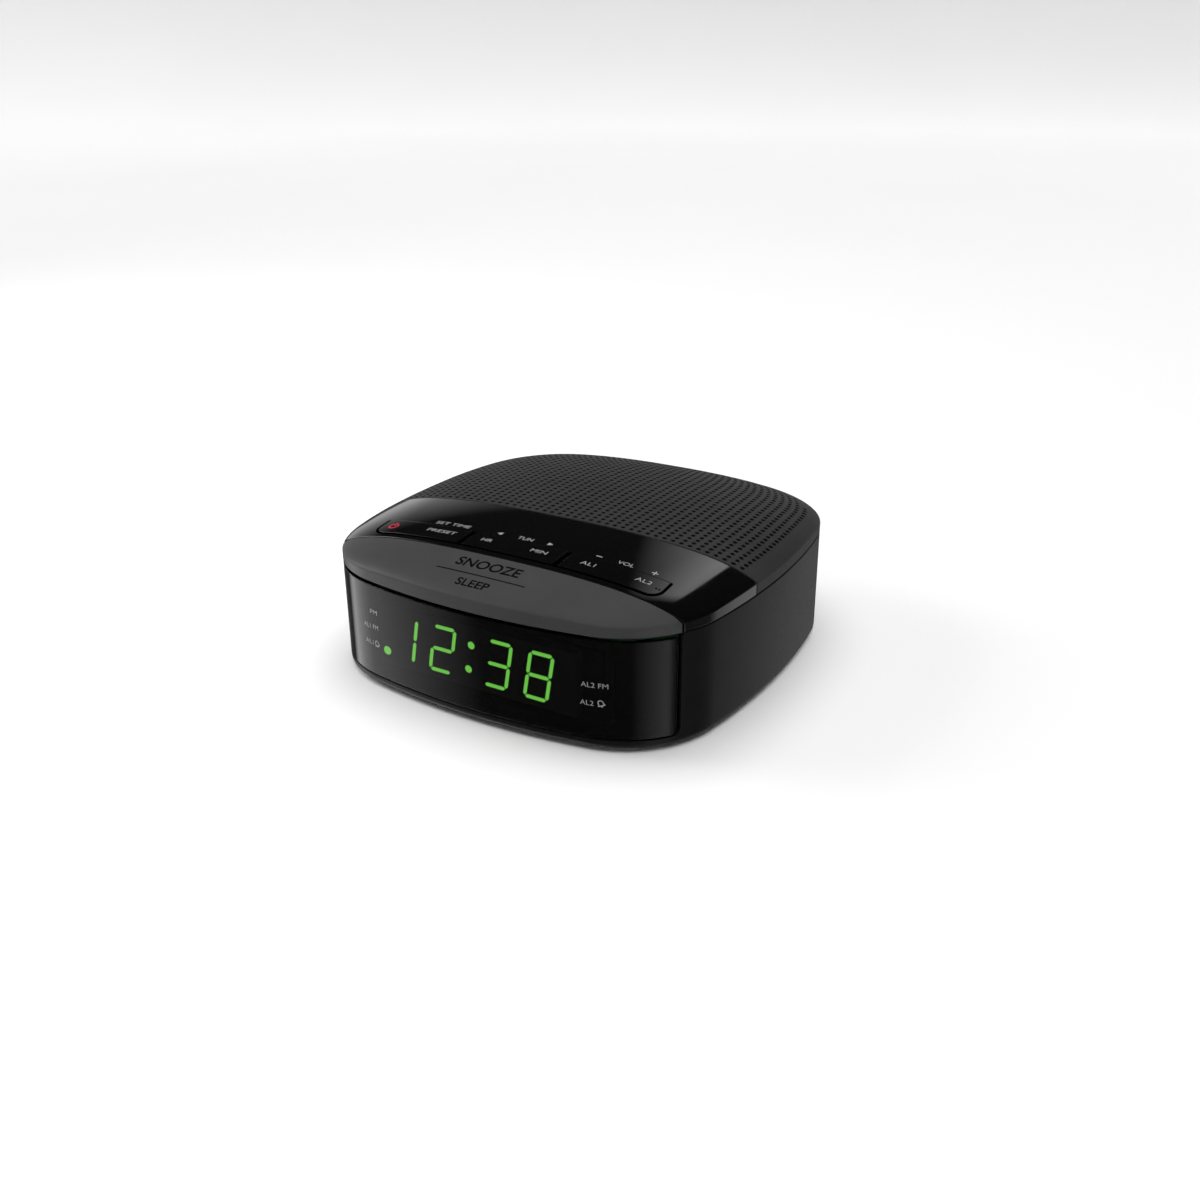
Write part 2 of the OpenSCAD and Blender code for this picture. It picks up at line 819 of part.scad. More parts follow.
// Paper cone, with its coil former in the magnet's gap, a rolled edge and a dust cap
module speaker_cone() {
    outer_face = [[0, -6.6], [4, -7.4], [6.2, -9.2], [6.2, -18], [6.5, -18], [6.5, -9.8],
        [8, -9.4], [22, -1], [24, 0.2], [26.4, 0], [28.2, 0]];
    inner_face = [[28.2, 0.4], [26.6, 0.5], [24, 0.7], [21.6, -0.5], [7.6, -8.7],
        [6.4, -8.6], [4.1, -6.9], [0, -6.1]];
    color("#202022")
        translate([0, speaker_y, speaker_z])
            rotate_extrude($fn = 48) polygon(concat(outer_face, inner_face));
}

module speaker_seal() {
    color("#2c2c2c")
        translate([0, speaker_y, 0])
            difference() {
                post([0, 0], speaker_d, speaker_z + 0.8, speaker_z + 1.9);
                post([0, 0], speaker_d - 5, speaker_z, 50);
            }
}

module transformer_core() {
    color("#6c6f73")
        translate([transformer_at.x, transformer_at.y, 6])
            difference() {
                box([-17.5, -7, 0], [17.5, 7, 28]);
                for (sx = [-1, 1]) box([sx * 9 - 3, -10, 6], [sx * 9 + 3, 10, 22]);
            }
}

module transformer_coil() {
    color("#c8a23c")
        translate([transformer_at.x, transformer_at.y, 6])
            difference() {
                box([-11.9, -12, 6.2], [11.9, 12, 21.8]);
                box([-6.1, -7.1, 0], [6.1, 7.1, 30]);
                for (sx = [-1, 1]) box([sx * 15 - 3, -7.1, 0], [sx * 15 + 3, 7.1, 30]);
            }
}

module transformer_bracket() {
    t = 0.9;
    x = 17.6;
    color("#a8acb0")
        difference() {
            translate([transformer_at.x, transformer_at.y, 5]) {
                box([-x - t, -6, 0], [x + t, 6, t]);
                box([-5, -20, 0], [5, 20, t]);
                for (side = [-x - t, x]) box([side, -6, 0], [side + t, 6, 24]);
            }
            for (p = bracket_holes) post(p, screw_d + 0.4, 0, 10);
        }
}

module backup_cells() {
    mid = (bay_x[0] + bay_x[1]) / 2;
    cap_l = 0.8;
    color("#3c6ea8")
        for (i = [0, 1]) {
            cap_low = i == 0 ? 0 : cap_l;
            rod_x(cell_y[i], cell_z, cell_d, mid - cell_l / 2 + cap_low, mid + cell_l / 2 - cap_l + cap_low);
            rod_x(cell_y[i], cell_z, 3.8, mid - cell_l / 2, mid + cell_l / 2);
        }
}

// Plates at both ends of the cells, each with a round pad towards the cell
module battery_contacts() {
    t = 0.4;
    pad = 0.9;
    color("#c9ccd0")
        for (y = cell_y) {
            box([bay_x[0] + 0.1, y - 4.2, cell_z - 4.4], [bay_x[0] + 0.1 + t, y + 4.2, cell_z + 4.4]);
            rod_x(y, cell_z, 5, bay_x[0] + 0.1 + t, bay_x[0] + 0.1 + t + pad);
            box([bay_x[1] - 0.1 - t, y - 4.2, cell_z - 4.4], [bay_x[1] - 0.1, y + 4.2, cell_z + 4.4]);
            rod_x(y, cell_z, 5, bay_x[1] - 0.1 - t - pad, bay_x[1] - 0.1 - t);
        }
}

// Screw pointing up, its head below
module screw(p, head_z, length, d, head_d, head_h) {
    difference() {
        union() {
            post(p, head_d, head_z - head_h, head_z);
            post(p, d, head_z, head_z + length);
        }
        post(p, head_d * 0.4, head_z - head_h - 1, head_z - head_h * 0.5);
    }
}

module case_screws() {
    color("#8f9398")
        for (sx = [-1, 1]) {
            screw([sx * rear_boss.x, rear_boss.y], 23.8, 13, screw_bore_d, 5.6, 2);
            screw([sx * front_boss.x, front_boss.y], 23.8, 12, screw_bore_d, 5.6, 2);
        }
}

// Screw pointing down, its head above
module screw_down(p, head_z, low) {
    difference() {
        union() {
            post(p, 5.4, head_z, head_z + 2);
            post(p, screw_bore_d, low, head_z);
        }
        post(p, 2, head_z + 1, head_z + 3);
    }
}

module board_screws() {
    color("#8f9398")
        for (p = board_posts) screw_down(p, main_board_z + board_t, 4);
}

module frame_screws() {
    color("#8f9398") {
        for (p = frame_bosses) screw(p, frame_z, 6, 1.8, 4, 1.4);
        for (p = board_bosses) screw(p, key_board_z, 3.2, 1.8, 4, 1.4);
    }
}

module bracket_screws() {
    color("#8f9398")
        for (p = bracket_holes) screw_down(p, 5.9, 2.8);
}

base_shell();
top_cover();
control_panel();
snooze_bar();
power_key();
tuning_key();
volume_key();
front_lens();
battery_door();
rubber_feet();
cord_inlet();
antenna_inlet();
display_housing();
digit_segments();
status_lamps();
display_board();
light_mask();
display_ribbon();
key_frame();
key_pins();
key_board();
tact_switches();
snooze_springs();
main_board();
tuner_chips();
board_capacitors();
tuning_coils();
speaker_basket();
speaker_magnet();
speaker_cone();
speaker_seal();
transformer_core();
transformer_coil();
transformer_bracket();
backup_cells();
battery_contacts();
case_screws();
board_screws();
frame_screws();
bracket_screws();
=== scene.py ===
"""Looks of a bedside clock radio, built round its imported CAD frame.

Shapes are worked out in millimetres, in the frame's own axes (X right, Y back, Z up), and
become metres when a mesh is made. Each outside moulding is one skin over the same rounded
square outline and crown, with rolled edges and a real thickness.
"""
import math

import bpy
import numpy as np
from mathutils import Matrix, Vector
from mathutils.geometry import delaunay_2d_cdt


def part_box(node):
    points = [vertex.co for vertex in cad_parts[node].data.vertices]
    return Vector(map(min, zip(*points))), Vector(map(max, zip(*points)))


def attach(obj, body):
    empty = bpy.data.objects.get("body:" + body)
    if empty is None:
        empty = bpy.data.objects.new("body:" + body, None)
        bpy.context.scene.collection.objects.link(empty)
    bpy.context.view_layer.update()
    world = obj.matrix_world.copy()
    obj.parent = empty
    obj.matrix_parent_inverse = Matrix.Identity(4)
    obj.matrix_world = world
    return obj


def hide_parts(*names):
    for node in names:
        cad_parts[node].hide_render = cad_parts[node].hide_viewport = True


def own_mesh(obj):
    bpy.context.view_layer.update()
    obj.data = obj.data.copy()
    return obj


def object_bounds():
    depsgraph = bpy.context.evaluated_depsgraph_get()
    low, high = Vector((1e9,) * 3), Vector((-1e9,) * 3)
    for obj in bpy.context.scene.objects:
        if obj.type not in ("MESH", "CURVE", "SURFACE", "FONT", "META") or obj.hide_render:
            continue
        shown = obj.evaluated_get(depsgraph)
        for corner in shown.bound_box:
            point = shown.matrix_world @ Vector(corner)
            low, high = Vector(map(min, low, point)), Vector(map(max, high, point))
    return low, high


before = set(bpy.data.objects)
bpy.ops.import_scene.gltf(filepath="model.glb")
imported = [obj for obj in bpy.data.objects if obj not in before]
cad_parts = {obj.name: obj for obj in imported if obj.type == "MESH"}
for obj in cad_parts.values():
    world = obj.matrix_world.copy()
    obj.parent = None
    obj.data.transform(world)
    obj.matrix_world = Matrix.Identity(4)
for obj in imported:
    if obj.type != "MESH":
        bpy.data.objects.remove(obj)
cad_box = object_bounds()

MM = 0.001


def box_of(node):
    """Low and high corner of a CAD node, in millimetres."""
    return [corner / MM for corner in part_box(node)]


# ---------------------------------------------------------------- sizes, in millimetres
# Body: outline, seam between the base and the top mouldings, and rounded lower edge
body_w, body_d, body_h = [(b - a) / MM for a, b in zip(*cad_box)]
half_w, half_d = body_w / 2, body_d / 2
seam_h = 34.6
corner_r = 32.0
front_bow_r = 206.0
side_bow_r = 224.0
foot_edge = 2.0
base_low = 1.0
wall = 2.2

# Crown: how far it falls to the sides and to the front and back, its soft edge, and the
# steep part of that edge
fall_x = 5.9
fall_y = 5.7
crown_power = 2.75
edge_w = 19.5
edge_h = 2.6
steep_w = 2.2

# Top mouldings: the gap between two of them, the roll of their edges, and where they end
gap = 0.35
roll_r = 0.25
cover_t = 1.6
band_rear_y = -15.0
snooze_rear_y = -47.0
snooze_low = seam_h + 0.1

# Lens: flat inside in the middle, and growing thicker outside that over lens_blend
lens_low = 4.0
lens_top = snooze_low - 1.1
lens_half_w = 58.5
lens_corner_r = 2.2
lens_flat_half_w = 35.0
lens_blend = 10.0
lens_clearance = 0.3
lens_thin = 0.75
lens_thick = 1.8

# Row of three keys, and its opening in the band, whose edge is shorter than key_edge
keys_half_w = 49.0
key_rear_y = -35.7
key_d = 8.3
key_split = 1.9
key_slot = 1.1
key_end_gap = 0.8
key_corner_r = 3.6
key_inner_r = 0.3
key_t = 4.2
key_hairline = 0.1
key_roll = 0.1
key_edge = 260.0
key_w = (2 * keys_half_w - 2 * key_split) / 3
key_step = key_w + key_split

# Sound holes
hole_pitch_x = 2.8
hole_pitch_y = 2.38
hole_r = 0.72
hole_columns = 44
hole_rows = 31
first_row_y = band_rear_y + 2.05
hole_margin = 4.4
hole_roll = 0.1
hole_sides = 16

# Display: face, digits, colon and lamps
display_lo, display_hi = box_of("display_housing")
display_y = display_lo.y
display_mid = (display_lo.z + display_hi.z) / 2 - 0.1
digit_h = 15.2
digit_lean = math.radians(10)
bar_t = 1.1
bar_gap = 0.45
cell_w = 8.4
digits_x = -1.5
digit_centres = [digits_x + x for x in (-23.4, -9.7, 9.7, 23.4)]
colon_z = 3.9
colon_r = 1.15
lamp_x = 32.0
lamp_levels = (-5.4, 0.0, 4.8)
lit_lamp_r = 1.35
dark_lamp_r = 1.3

# Underside: foot seats, screw holes, vents, and the battery door's way
FEET = [(sx * 44.0, sy * 50.0) for sx in (-1, 1) for sy in (-1, 1)]
foot_seat_r = 6.2
SCREW_HOLES = [(sx * x, y) for sx in (-1, 1) for x, y in ((22.0, 56.2), (56.6, -21.0))]
screw_hole_r = 3.1
VENTS = [(-58 + 5 * i, 18.5, -56 + 5 * i, 38.0) for i in range(7)]
vent_corner_r = 0.9
door_travel = 8.0


# ---------------------------------------------------------------- outline and crown
def corner_centre():
    """Where a circle that touches a side's bow and the front's bow from inside has its centre."""
    c0, r0 = np.array([0, half_d - front_bow_r]), front_bow_r - corner_r
    c1, r1 = np.array([half_w - side_bow_r, 0]), side_bow_r - corner_r
    d = np.linalg.norm(c1 - c0)
    u = (c1 - c0) / d
    a = (r0 * r0 - r1 * r1 + d * d) / (2 * d)
    return c0 + a * u + math.sqrt(r0 * r0 - a * a) * np.array([u[1], -u[0]])


side_c = np.array([half_w - side_bow_r, 0.0])
bow_c = np.array([0.0, half_d - front_bow_r])
corner_c = corner_centre()
side_end = math.atan2(*(corner_c - side_c)[::-1])
bow_start = math.atan2(*(corner_c - bow_c)[::-1])
bow_end_x = corner_c[0] + corner_r * math.cos(bow_start)


def arc_parts(on_side, on_bow):
    """Centres and radii of the first quadrant's arcs, chosen point by point: a side's bow, the
    front's or back's bow, or the corner between them."""
    centre = np.where(on_side[..., None], side_c, np.where(on_bow[..., None], bow_c, corner_c))
    return centre, np.where(on_side, side_bow_r, np.where(on_bow, front_bow_r, corner_r))


def arc_of(angle):
    """Centre and radius of the outline's arc whose outward normal has this angle."""
    c, s = np.cos(angle), np.sin(angle)
    first = np.arctan2(np.abs(s), np.abs(c))
    centre, radius = arc_parts(first <= side_end, first >= bow_start)
    signs = np.stack([np.where(c < 0, -1, 1), np.where(s < 0, -1, 1)], -1)
    return centre * signs, radius


def directions(angle):
    """Unit vectors at angles in a plane."""
    return np.stack([np.cos(angle), np.sin(angle)], -1)


def rim(angle, inset=0.0):
    """Points of the outline drawn in by inset, and their outward normals, at normal angles."""
    angle = np.asarray(angle, float)
    centre, radius = arc_of(angle)
    n = directions(angle)
    return centre + (radius - inset)[..., None] * n, n


def angle_at_depth(y):
    """First-quadrant normal angle of the outline's point that is y behind the middle."""
    if y <= side_bow_r * math.sin(side_end):
        return math.asin(y / side_bow_r)
    return math.asin((y - corner_c[1]) / corner_r)


def rim_angles(start, end, fine=1.0):
    """Normal angles from start to end: every joint between arcs, and even steps on each arc."""
    joints = []
    for quarter in range(-4, 8):
        base = quarter * math.pi / 2
        if quarter % 2:
            marks = [0, math.pi / 2 - bow_start, math.pi / 2 - side_end]
        else:
            marks = [0, side_end, bow_start]
        joints += [base + m for m in marks]
    inner = [a for a in sorted(joints) if start + 1e-6 < a < end - 1e-6]
    stops = [start] + inner + [end]
    out = []
    for a, b in zip(stops, stops[1:]):
        radius = float(arc_of(np.array((a + b) / 2))[1])
        step = (1.9 if radius == corner_r else 3.6) * fine
        n = max(1, int(math.ceil((b - a) * radius / step)))
        out += list(np.linspace(a, b, n, endpoint=False))
    return np.array(out + [end])


def rim_distance(p):
    """How far a point of the plan lies inside the outline, and the outline's normal there."""
    q = np.abs(p)
    side_turn, bow_turn = [np.arctan2(*np.moveaxis(q - c, -1, 0)[::-1]) for c in (side_c, bow_c)]
    centre, radius = arc_parts(side_turn <= side_end, bow_turn >= bow_start)
    v = q - centre
    length = np.linalg.norm(v, axis=-1)
    return radius - length, v / np.maximum(length, 1e-9)[..., None] * np.where(p < 0, -1, 1)


def crown_top(p):
    """Height of the crown without its soft edge."""
    x, y = np.abs(p[..., 0]) / half_w, np.abs(p[..., 1]) / half_d
    return body_h - fall_x * x**crown_power - fall_y * y**crown_power


def rim_z(p):
    """Height of the crown where it meets the upright wall."""
    return crown_top(p) - edge_h


def crown(p):
    """Points of the crown over the plan, and their normals."""
    p = np.asarray(p, float)
    d, n2 = rim_distance(p)
    c = 1 - np.clip(d, 0, edge_w) / edge_w
    s = np.sqrt(np.maximum(1 - c * c, 0))
    z = crown_top(p) - edge_h * (1 - s)
    k = crown_power
    gx = -fall_x * k / half_w**k * np.abs(p[..., 0]) ** (k - 1) * np.sign(p[..., 0])
    gy = -fall_y * k / half_d**k * np.abs(p[..., 1]) ** (k - 1) * np.sign(p[..., 1])
    roll = (edge_h / edge_w * c)[..., None] * n2
    n = np.concatenate([roll - np.stack([gx, gy], -1) * s[..., None], s[..., None]], -1)
    n /= np.linalg.norm(n, axis=-1)[..., None]
    return np.concatenate([p, z[..., None]], -1), n


def wall_points(angle, z):
    """Points of the upright wall at normal angles and heights."""
    p, n = rim(angle)
    z = np.broadcast_to(z, p.shape[:-1])
    return np.concatenate([p, z[..., None]], -1), np.concatenate([n, 0 * z[..., None]], -1)


# ---------------------------------------------------------------- skins
class Skin:
    """Outside surface of a moulding, gathered patch by patch, then rolled at its open edges
    and given a thickness."""

    def __init__(self):
        self.points, self.normals, self.faces = [], [], []
        self.count = 0

    def add(self, points, normals, faces):
        points, normals = points.reshape(-1, 3), normals.reshape(-1, 3)
        self.points.append(points)
        self.normals.append(normals)
        self.faces += [[i + self.count for i in f] for f in faces]
        self.count += len(points)

    def grid(self, points, normals):
        rows, cols = points.shape[:2]
        faces = [
            [r * cols + c, r * cols + c + 1, (r + 1) * cols + c + 1, (r + 1) * cols + c]
            for r in range(rows - 1)
            for c in range(cols - 1)
        ]
        self.add(points, normals, faces)

    def patch(self, loops, surface, step):
        """Fills the area inside the first loop and outside the others, over a surface."""
        coords, edges = [], []
        for loop in loops:
            first = len(coords)
            coords += [tuple(p) for p in loop]
            edges += [(first + i, first + (i + 1) % len(loop)) for i in range(len(loop))]
        coords += inner_points(loops, step)
        made = delaunay_2d_cdt(coords, edges, [], 0, 1e-5)
        p = np.array([tuple(v) for v in made[0]])
        tris = np.array([f for f in made[2] if len(f) == 3])
        points, normals = surface(p)
        self.add(points, normals, tris[inside_loops(p[tris].mean(1), loops)].tolist())

    def merged(self):
        """Joins points that coincide, drops collapsed faces and turns the rest outward."""
        points, normals = np.concatenate(self.points), np.concatenate(self.normals)
        keys = np.round(points * 500).astype(np.int64)
        _, first, to = np.unique(keys, axis=0, return_index=True, return_inverse=True)
        to = to.reshape(-1)
        points, normals = points[first], normals[first]
        faces, seen = [], set()
        for f in self.faces:
            g = []
            for i in f:
                j = int(to[i])
                if j not in g:
                    g.append(j)
            key = tuple(sorted(g))
            if len(g) < 3 or key in seen:
                continue
            seen.add(key)
            a, b, c = points[g[0]], points[g[1]], points[g[2]]
            normal = np.cross(b - a, c - a)
            if len(g) == 4:
                normal = normal + np.cross(c - a, points[g[3]] - a)
            if normal @ normals[g].sum(0) < 0:
                g.reverse()
            faces.append(g)
        return points, normals, faces


def winding(p, loop):
    """Whether each point lies inside the loop."""
    a = np.asarray(loop, float)
    b = np.roll(a, -1, 0)
    inside = np.zeros(len(p), bool)
    for (x0, y0), (x1, y1) in zip(a, b):
        if y0 == y1:
            continue
        crosses = (y0 > p[:, 1]) != (y1 > p[:, 1])
        at = x0 + (p[:, 1] - y0) * (x1 - x0) / (y1 - y0)
        inside ^= crosses & (p[:, 0] < at)
    return inside


def inside_loops(p, loops):
    """Whether each point lies inside the first loop and outside the others."""
    inside = winding(p, loops[0])
    for loop in loops[1:]:
        inside &= ~winding(p, loop)
    return inside


def inner_points(loops, step):
    """Grid points inside the loops that keep off their edges."""
    outer = np.asarray(loops[0], float)
    lo, hi = outer.min(0), outer.max(0)
    xs = np.arange(lo[0] + step[0] / 2, hi[0], step[0])
    ys = np.arange(lo[1] + step[1] / 2, hi[1], step[1])
    grid = np.stack(np.meshgrid(xs, ys), -1).reshape(-1, 2)
    grid = grid[inside_loops(grid, loops)]
    near = np.min([edge_distance(grid, loop) for loop in loops], axis=0)
    return [tuple(p) for p in grid[near > 0.35 * min(step)]]


def edge_distance(points, loop):
    """Distance of each point from the nearest edge of the loop."""
    near = np.full(len(points), 1e9)
    a = np.asarray(loop, float)
    for p, q in zip(a, np.roll(a, -1, 0)):
        t = np.clip((points - p) @ (q - p) / max((q - p) @ (q - p), 1e-12), 0, 1)
        near = np.minimum(near, np.linalg.norm(points - p - t[:, None] * (q - p), axis=1))
    return near


def open_edges(faces):
    """Edges that have a face on one side only, each running with that face on its left."""
    directed = {edge for f in faces for edge in zip(f, f[1:] + f[:1])}
    return [(a, b) for a, b in directed if (b, a) not in directed]


def open_loops(faces):
    """The open edges, joined to closed runs of points."""
    after = dict(open_edges(faces))
    loops = []
    while after:
        start, at = next(iter(after.items()))
        del after[start]
        loop = [start]
        while at != start and at in after:
            loop.append(at)
            at = after.pop(at)
        loops.append(loop)
    return loops


def outward(p, n):
    """Mitred directions that lead out over an open edge, level with its surface."""
    ahead = np.roll(p, -1, 0) - p
    ahead /= np.maximum(np.linalg.norm(ahead, axis=1), 1e-9)[:, None]
    side = np.cross(ahead, n)
    side /= np.linalg.norm(side, axis=1)[:, None]
    last = np.roll(side, 1, 0)
    return (side + last) / np.maximum(1 + (side * last).sum(1), 0.5)[:, None]


def bridge(first, second):
    """Four-cornered faces between two closed rings of the same length."""
    corners = zip(first[1:] + first[:1], first, second, second[1:] + second[:1])
    return [list(c) for c in corners]


def moulding(skin, thickness, roll=roll_r, small_roll=None, small_limit=8.0):
    """Rolls the skin's open edges outward and closes it with an inner skin. Edges that are
    shorter than small_limit, all round, have the small roll."""
    points, normals, faces = skin.merged()
    outer, facing, inner = [points], [normals], [points - normals * thickness]
    count, seams = len(points), []
    for loop in open_loops(faces):
        p, n = points[loop], normals[loop]
        length = np.linalg.norm(np.roll(p, -1, 0) - p, axis=1).sum()
        small = small_roll is not None and length < small_limit
        r, steps = (small_roll, 2) if small else (roll, 4)
        out = outward(p, n)
        unit = out / np.linalg.norm(out, axis=1)[:, None]
        ring = loop
        for k in range(1, steps + 1):
            a = math.pi / 2 * k / steps
            previous, ring = ring, list(range(count, count + len(loop)))
            count += len(loop)
            outer.append(p + out * r * math.sin(a) - n * r * (1 - math.cos(a)))
            facing.append(n * math.cos(a) + unit * math.sin(a))
            inner.append(p + out * r * math.sin(a) - n * thickness)
            faces += bridge(previous, ring)
        seams.append(ring)
    faces += [[i + count for i in reversed(f)] for f in faces]
    for ring in seams:
        faces += bridge(ring, [i + count for i in ring])
    normals = np.concatenate(facing)
    return np.concatenate(outer + inner), np.concatenate([normals, -normals]), faces


def mesh_object(name, points, normals, faces):
    """A smooth-shaded object from points in millimetres, with its own normals."""
    mesh = bpy.data.meshes.new(name)
    mesh.from_pydata((np.asarray(points) * MM).tolist(), [], faces)
    mesh.polygons.foreach_set("use_smooth", [True] * len(mesh.polygons))
    if normals is not None:
        mesh.normals_split_custom_set_from_vertices(np.asarray(normals).tolist())
    mesh.update()
    obj = bpy.data.objects.new(name, mesh)
    bpy.context.scene.collection.objects.link(obj)
    return obj


def place(obj, body, slot, material, *nodes):
    """Gives a piece its material and body, and hides the CAD nodes that it stands for. The slot
    argument is not used.
    """
    obj.data.materials.clear()
    obj.data.materials.append(material)
    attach(obj, body)
    if nodes:
        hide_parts(*nodes)
    return obj


# ---------------------------------------------------------------- materials
def new_material(name):
    """A material, its node tree and its shader."""
    material = bpy.data.materials.new(name)
    material.use_nodes = True
    tree = material.node_tree
    return material, tree, tree.nodes["Principled BSDF"]


def feed(shader, socket, value):
    """Drives one of the shader's sockets with a node's output."""
    shader.id_data.links.new(value, shader.inputs[socket])


def grey(value, blue=0.0):
    return (value, value, value + blue)


def noise(tree, scale, detail, roughness, seed):
    """Noise over the object's own coordinates, in features per metre."""
    where = tree.nodes.new("ShaderNodeTexCoord")
    node = tree.nodes.new("ShaderNodeTexNoise")
    node.noise_dimensions = "4D"
    settings = {"Scale": scale, "Detail": detail, "Roughness": roughness, "W": seed}
    for socket, setting in settings.items():
        node.inputs[socket].default_value = setting
    tree.links.new(where.outputs["Object"], node.inputs["Vector"])
    return node.outputs["Fac"]


def ramp(tree, value, low, high, start=0.0, end=1.0):
    """Maps a value from low..high to start..end."""
    node = tree.nodes.new("ShaderNodeMapRange")
    limits = {"From Min": low, "From Max": high, "To Min": start, "To Max": end}
    for socket, limit in limits.items():
        node.inputs[socket].default_value = limit
    tree.links.new(value, node.inputs["Value"])
    return node.outputs["Result"]


def blend_colour(tree, factor, first, second):
    """Colour that goes from the first to the second with the factor."""
    node = tree.nodes.new("ShaderNodeMix")
    node.data_type = "RGBA"
    node.inputs["A"].default_value = (*first, 1)
    node.inputs["B"].default_value = (*second, 1)
    tree.links.new(factor, node.inputs["Factor"])
    return node.outputs["Result"]


def bump(tree, shader, height, strength, distance):
    """Fine relief on the shader, from a height between 0 and 1."""
    node = tree.nodes.new("ShaderNodeBump")
    node.inputs["Strength"].default_value = strength
    node.inputs["Distance"].default_value = distance
    tree.links.new(height, node.inputs["Height"])
    feed(shader, "Normal", node.outputs["Normal"])


def moulded_plastic(name, dark, light, rough, shine=0.3, grain=2600.0, strength=0.35):
    """Moulded plastic with a spark-eroded grain, faint tone drift and uneven sheen."""
    material, tree, shader = new_material(name)
    tone = ramp(tree, noise(tree, 55, 3, 0.55, 1.7), 0.3, 0.7)
    feed(shader, "Base Color", blend_colour(tree, tone, dark, light))
    sheen = ramp(tree, noise(tree, 900, 5, 0.7, 4.2), 0.25, 0.75, rough[0], rough[1])
    feed(shader, "Roughness", sheen)
    bump(tree, shader, noise(tree, grain, 3, 0.6, 9.1), strength, 0.000012)
    shader.inputs["Specular IOR Level"].default_value = shine
    return material


def polished_plastic(name, colour, rough):
    """Piano-black moulding: polished, with a faint haze, a slight waviness and dust."""
    material, tree, shader = new_material(name)
    dust = ramp(tree, noise(tree, 3800, 2, 0.5, 3.3), 0.72, 0.8)
    speck = tuple(0.12 + c for c in colour)
    feed(shader, "Base Color", blend_colour(tree, dust, colour, speck))
    haze = ramp(tree, noise(tree, 120, 4, 0.6, 6.5), 0.3, 0.75, rough[0], rough[1])
    feed(shader, "Roughness", haze)
    bump(tree, shader, noise(tree, 160, 2, 0.5, 2.4), 0.12, 0.00002)
    shader.inputs["IOR"].default_value = 1.49
    return material


def smoked_plastic(name, see_through, shine):
    """Dark smoked plastic, polished: see_through is the share of light that passes."""
    material, tree, shader = new_material(name)
    tint = ramp(tree, noise(tree, 30, 2, 0.5, 5.0), 0.3, 0.7)
    feed(shader, "Base Color", blend_colour(tree, tint, grey(0.002), grey(0.003)))
    haze = ramp(tree, noise(tree, 140, 4, 0.6, 8.5), 0.3, 0.75, 0.02, 0.06)
    feed(shader, "Roughness", haze)
    shader.inputs["Alpha"].default_value = 1 - see_through
    shader.inputs["IOR"].default_value = 1.27
    shader.inputs["Specular IOR Level"].default_value = shine
    return material


def lit_plastic(name, colour, strength):
    """Translucent light guide with a lamp behind it, glowing a little unevenly."""
    material, tree, shader = new_material(name)
    glow = ramp(tree, noise(tree, 700, 3, 0.5, 2.2), 0.2, 0.8)
    warm = blend_colour(tree, glow, colour, tuple(min(1, c * 1.12) for c in colour))
    feed(shader, "Emission Color", warm)
    feed(shader, "Base Color", warm)
    shader.inputs["Emission Strength"].default_value = strength
    shader.inputs["Roughness"].default_value = 0.4
    return material


def metal(name, colour, rough, grain=400.0):
    """Plated or drawn metal with fine uneven sheen."""
    material, tree, shader = new_material(name)
    tone = ramp(tree, noise(tree, grain, 4, 0.6, 1.1), 0.3, 0.7)
    darker = tuple(c * 0.82 for c in colour)
    feed(shader, "Base Color", blend_colour(tree, tone, darker, colour))
    sheen = ramp(tree, noise(tree, grain * 3, 3, 0.6, 7.9), 0.3, 0.7, rough, rough + 0.15)
    feed(shader, "Roughness", sheen)
    shader.inputs["Metallic"].default_value = 1.0
    bump(tree, shader, noise(tree, grain * 6, 2, 0.5, 3.1), 0.2, 0.00001)
    return material


COVER = moulded_plastic("cover_grey", grey(0.022, 0.001), grey(0.027, 0.001), (0.46, 0.58), 0.10)
SNOOZE = moulded_plastic("snooze_grey", grey(0.044, 0.001), grey(0.051, 0.001), (0.34, 0.44), 0.10)
BASE = moulded_plastic("base_dark", grey(0.006), grey(0.009), (0.30, 0.40), 0.06)
GLOSS = polished_plastic("piano_black", grey(0.002), (0.03, 0.09))
LENS = smoked_plastic("smoked_lens", 0.10, 0.35)
LENS_INSIDE = smoked_plastic("smoked_lens_inside", 0.95, 0.0)
LEGEND = moulded_plastic("legend_ink", grey(0.28, 0.01), grey(0.33, 0.01), (0.45, 0.6))
# Painted shade: a dark, dull inlay, flush with the snooze bar, stands for the shadow inside its
# engraved letters
ENGRAVING_SHADE = moulded_plastic("engraving_painted_shade", grey(0.002), grey(0.004), (0.7, 0.8), 0.0)
POWER_RED = moulded_plastic("power_ink", (0.50, 0.010, 0.035), (0.58, 0.014, 0.045), (0.4, 0.55))
LIT = lit_plastic("lit_green", (0.20, 0.72, 0.09), 6.6)
UNLIT = moulded_plastic("unlit_bar", (0.115, 0.122, 0.115), (0.125, 0.13, 0.125),
                        (0.45, 0.55), 0.1)
STEEL = metal("zinc_steel", (0.62, 0.62, 0.60), 0.3)


# ---------------------------------------------------------------- outside mouldings
def rim_insets():
    """Distances from the rim over its steep edge, close together where it is steepest."""
    top = math.acos(1 - steep_w / edge_w)
    n = max(4, int(math.ceil(math.degrees(top) / 3.5)))
    return edge_w * (1 - np.cos(np.linspace(0, top, n + 1)))


def stacked(rows):
    """Grid points and grid normals from rows of both."""
    return [np.stack(part) for part in zip(*rows)]


def skirt_rows(angles, low, rows=3):
    """The upright wall from low to the rim, as grid rows."""
    top = rim_z(rim(angles)[0])
    return stacked([wall_points(angles, low + (top - low) * k / rows) for k in range(rows + 1)])


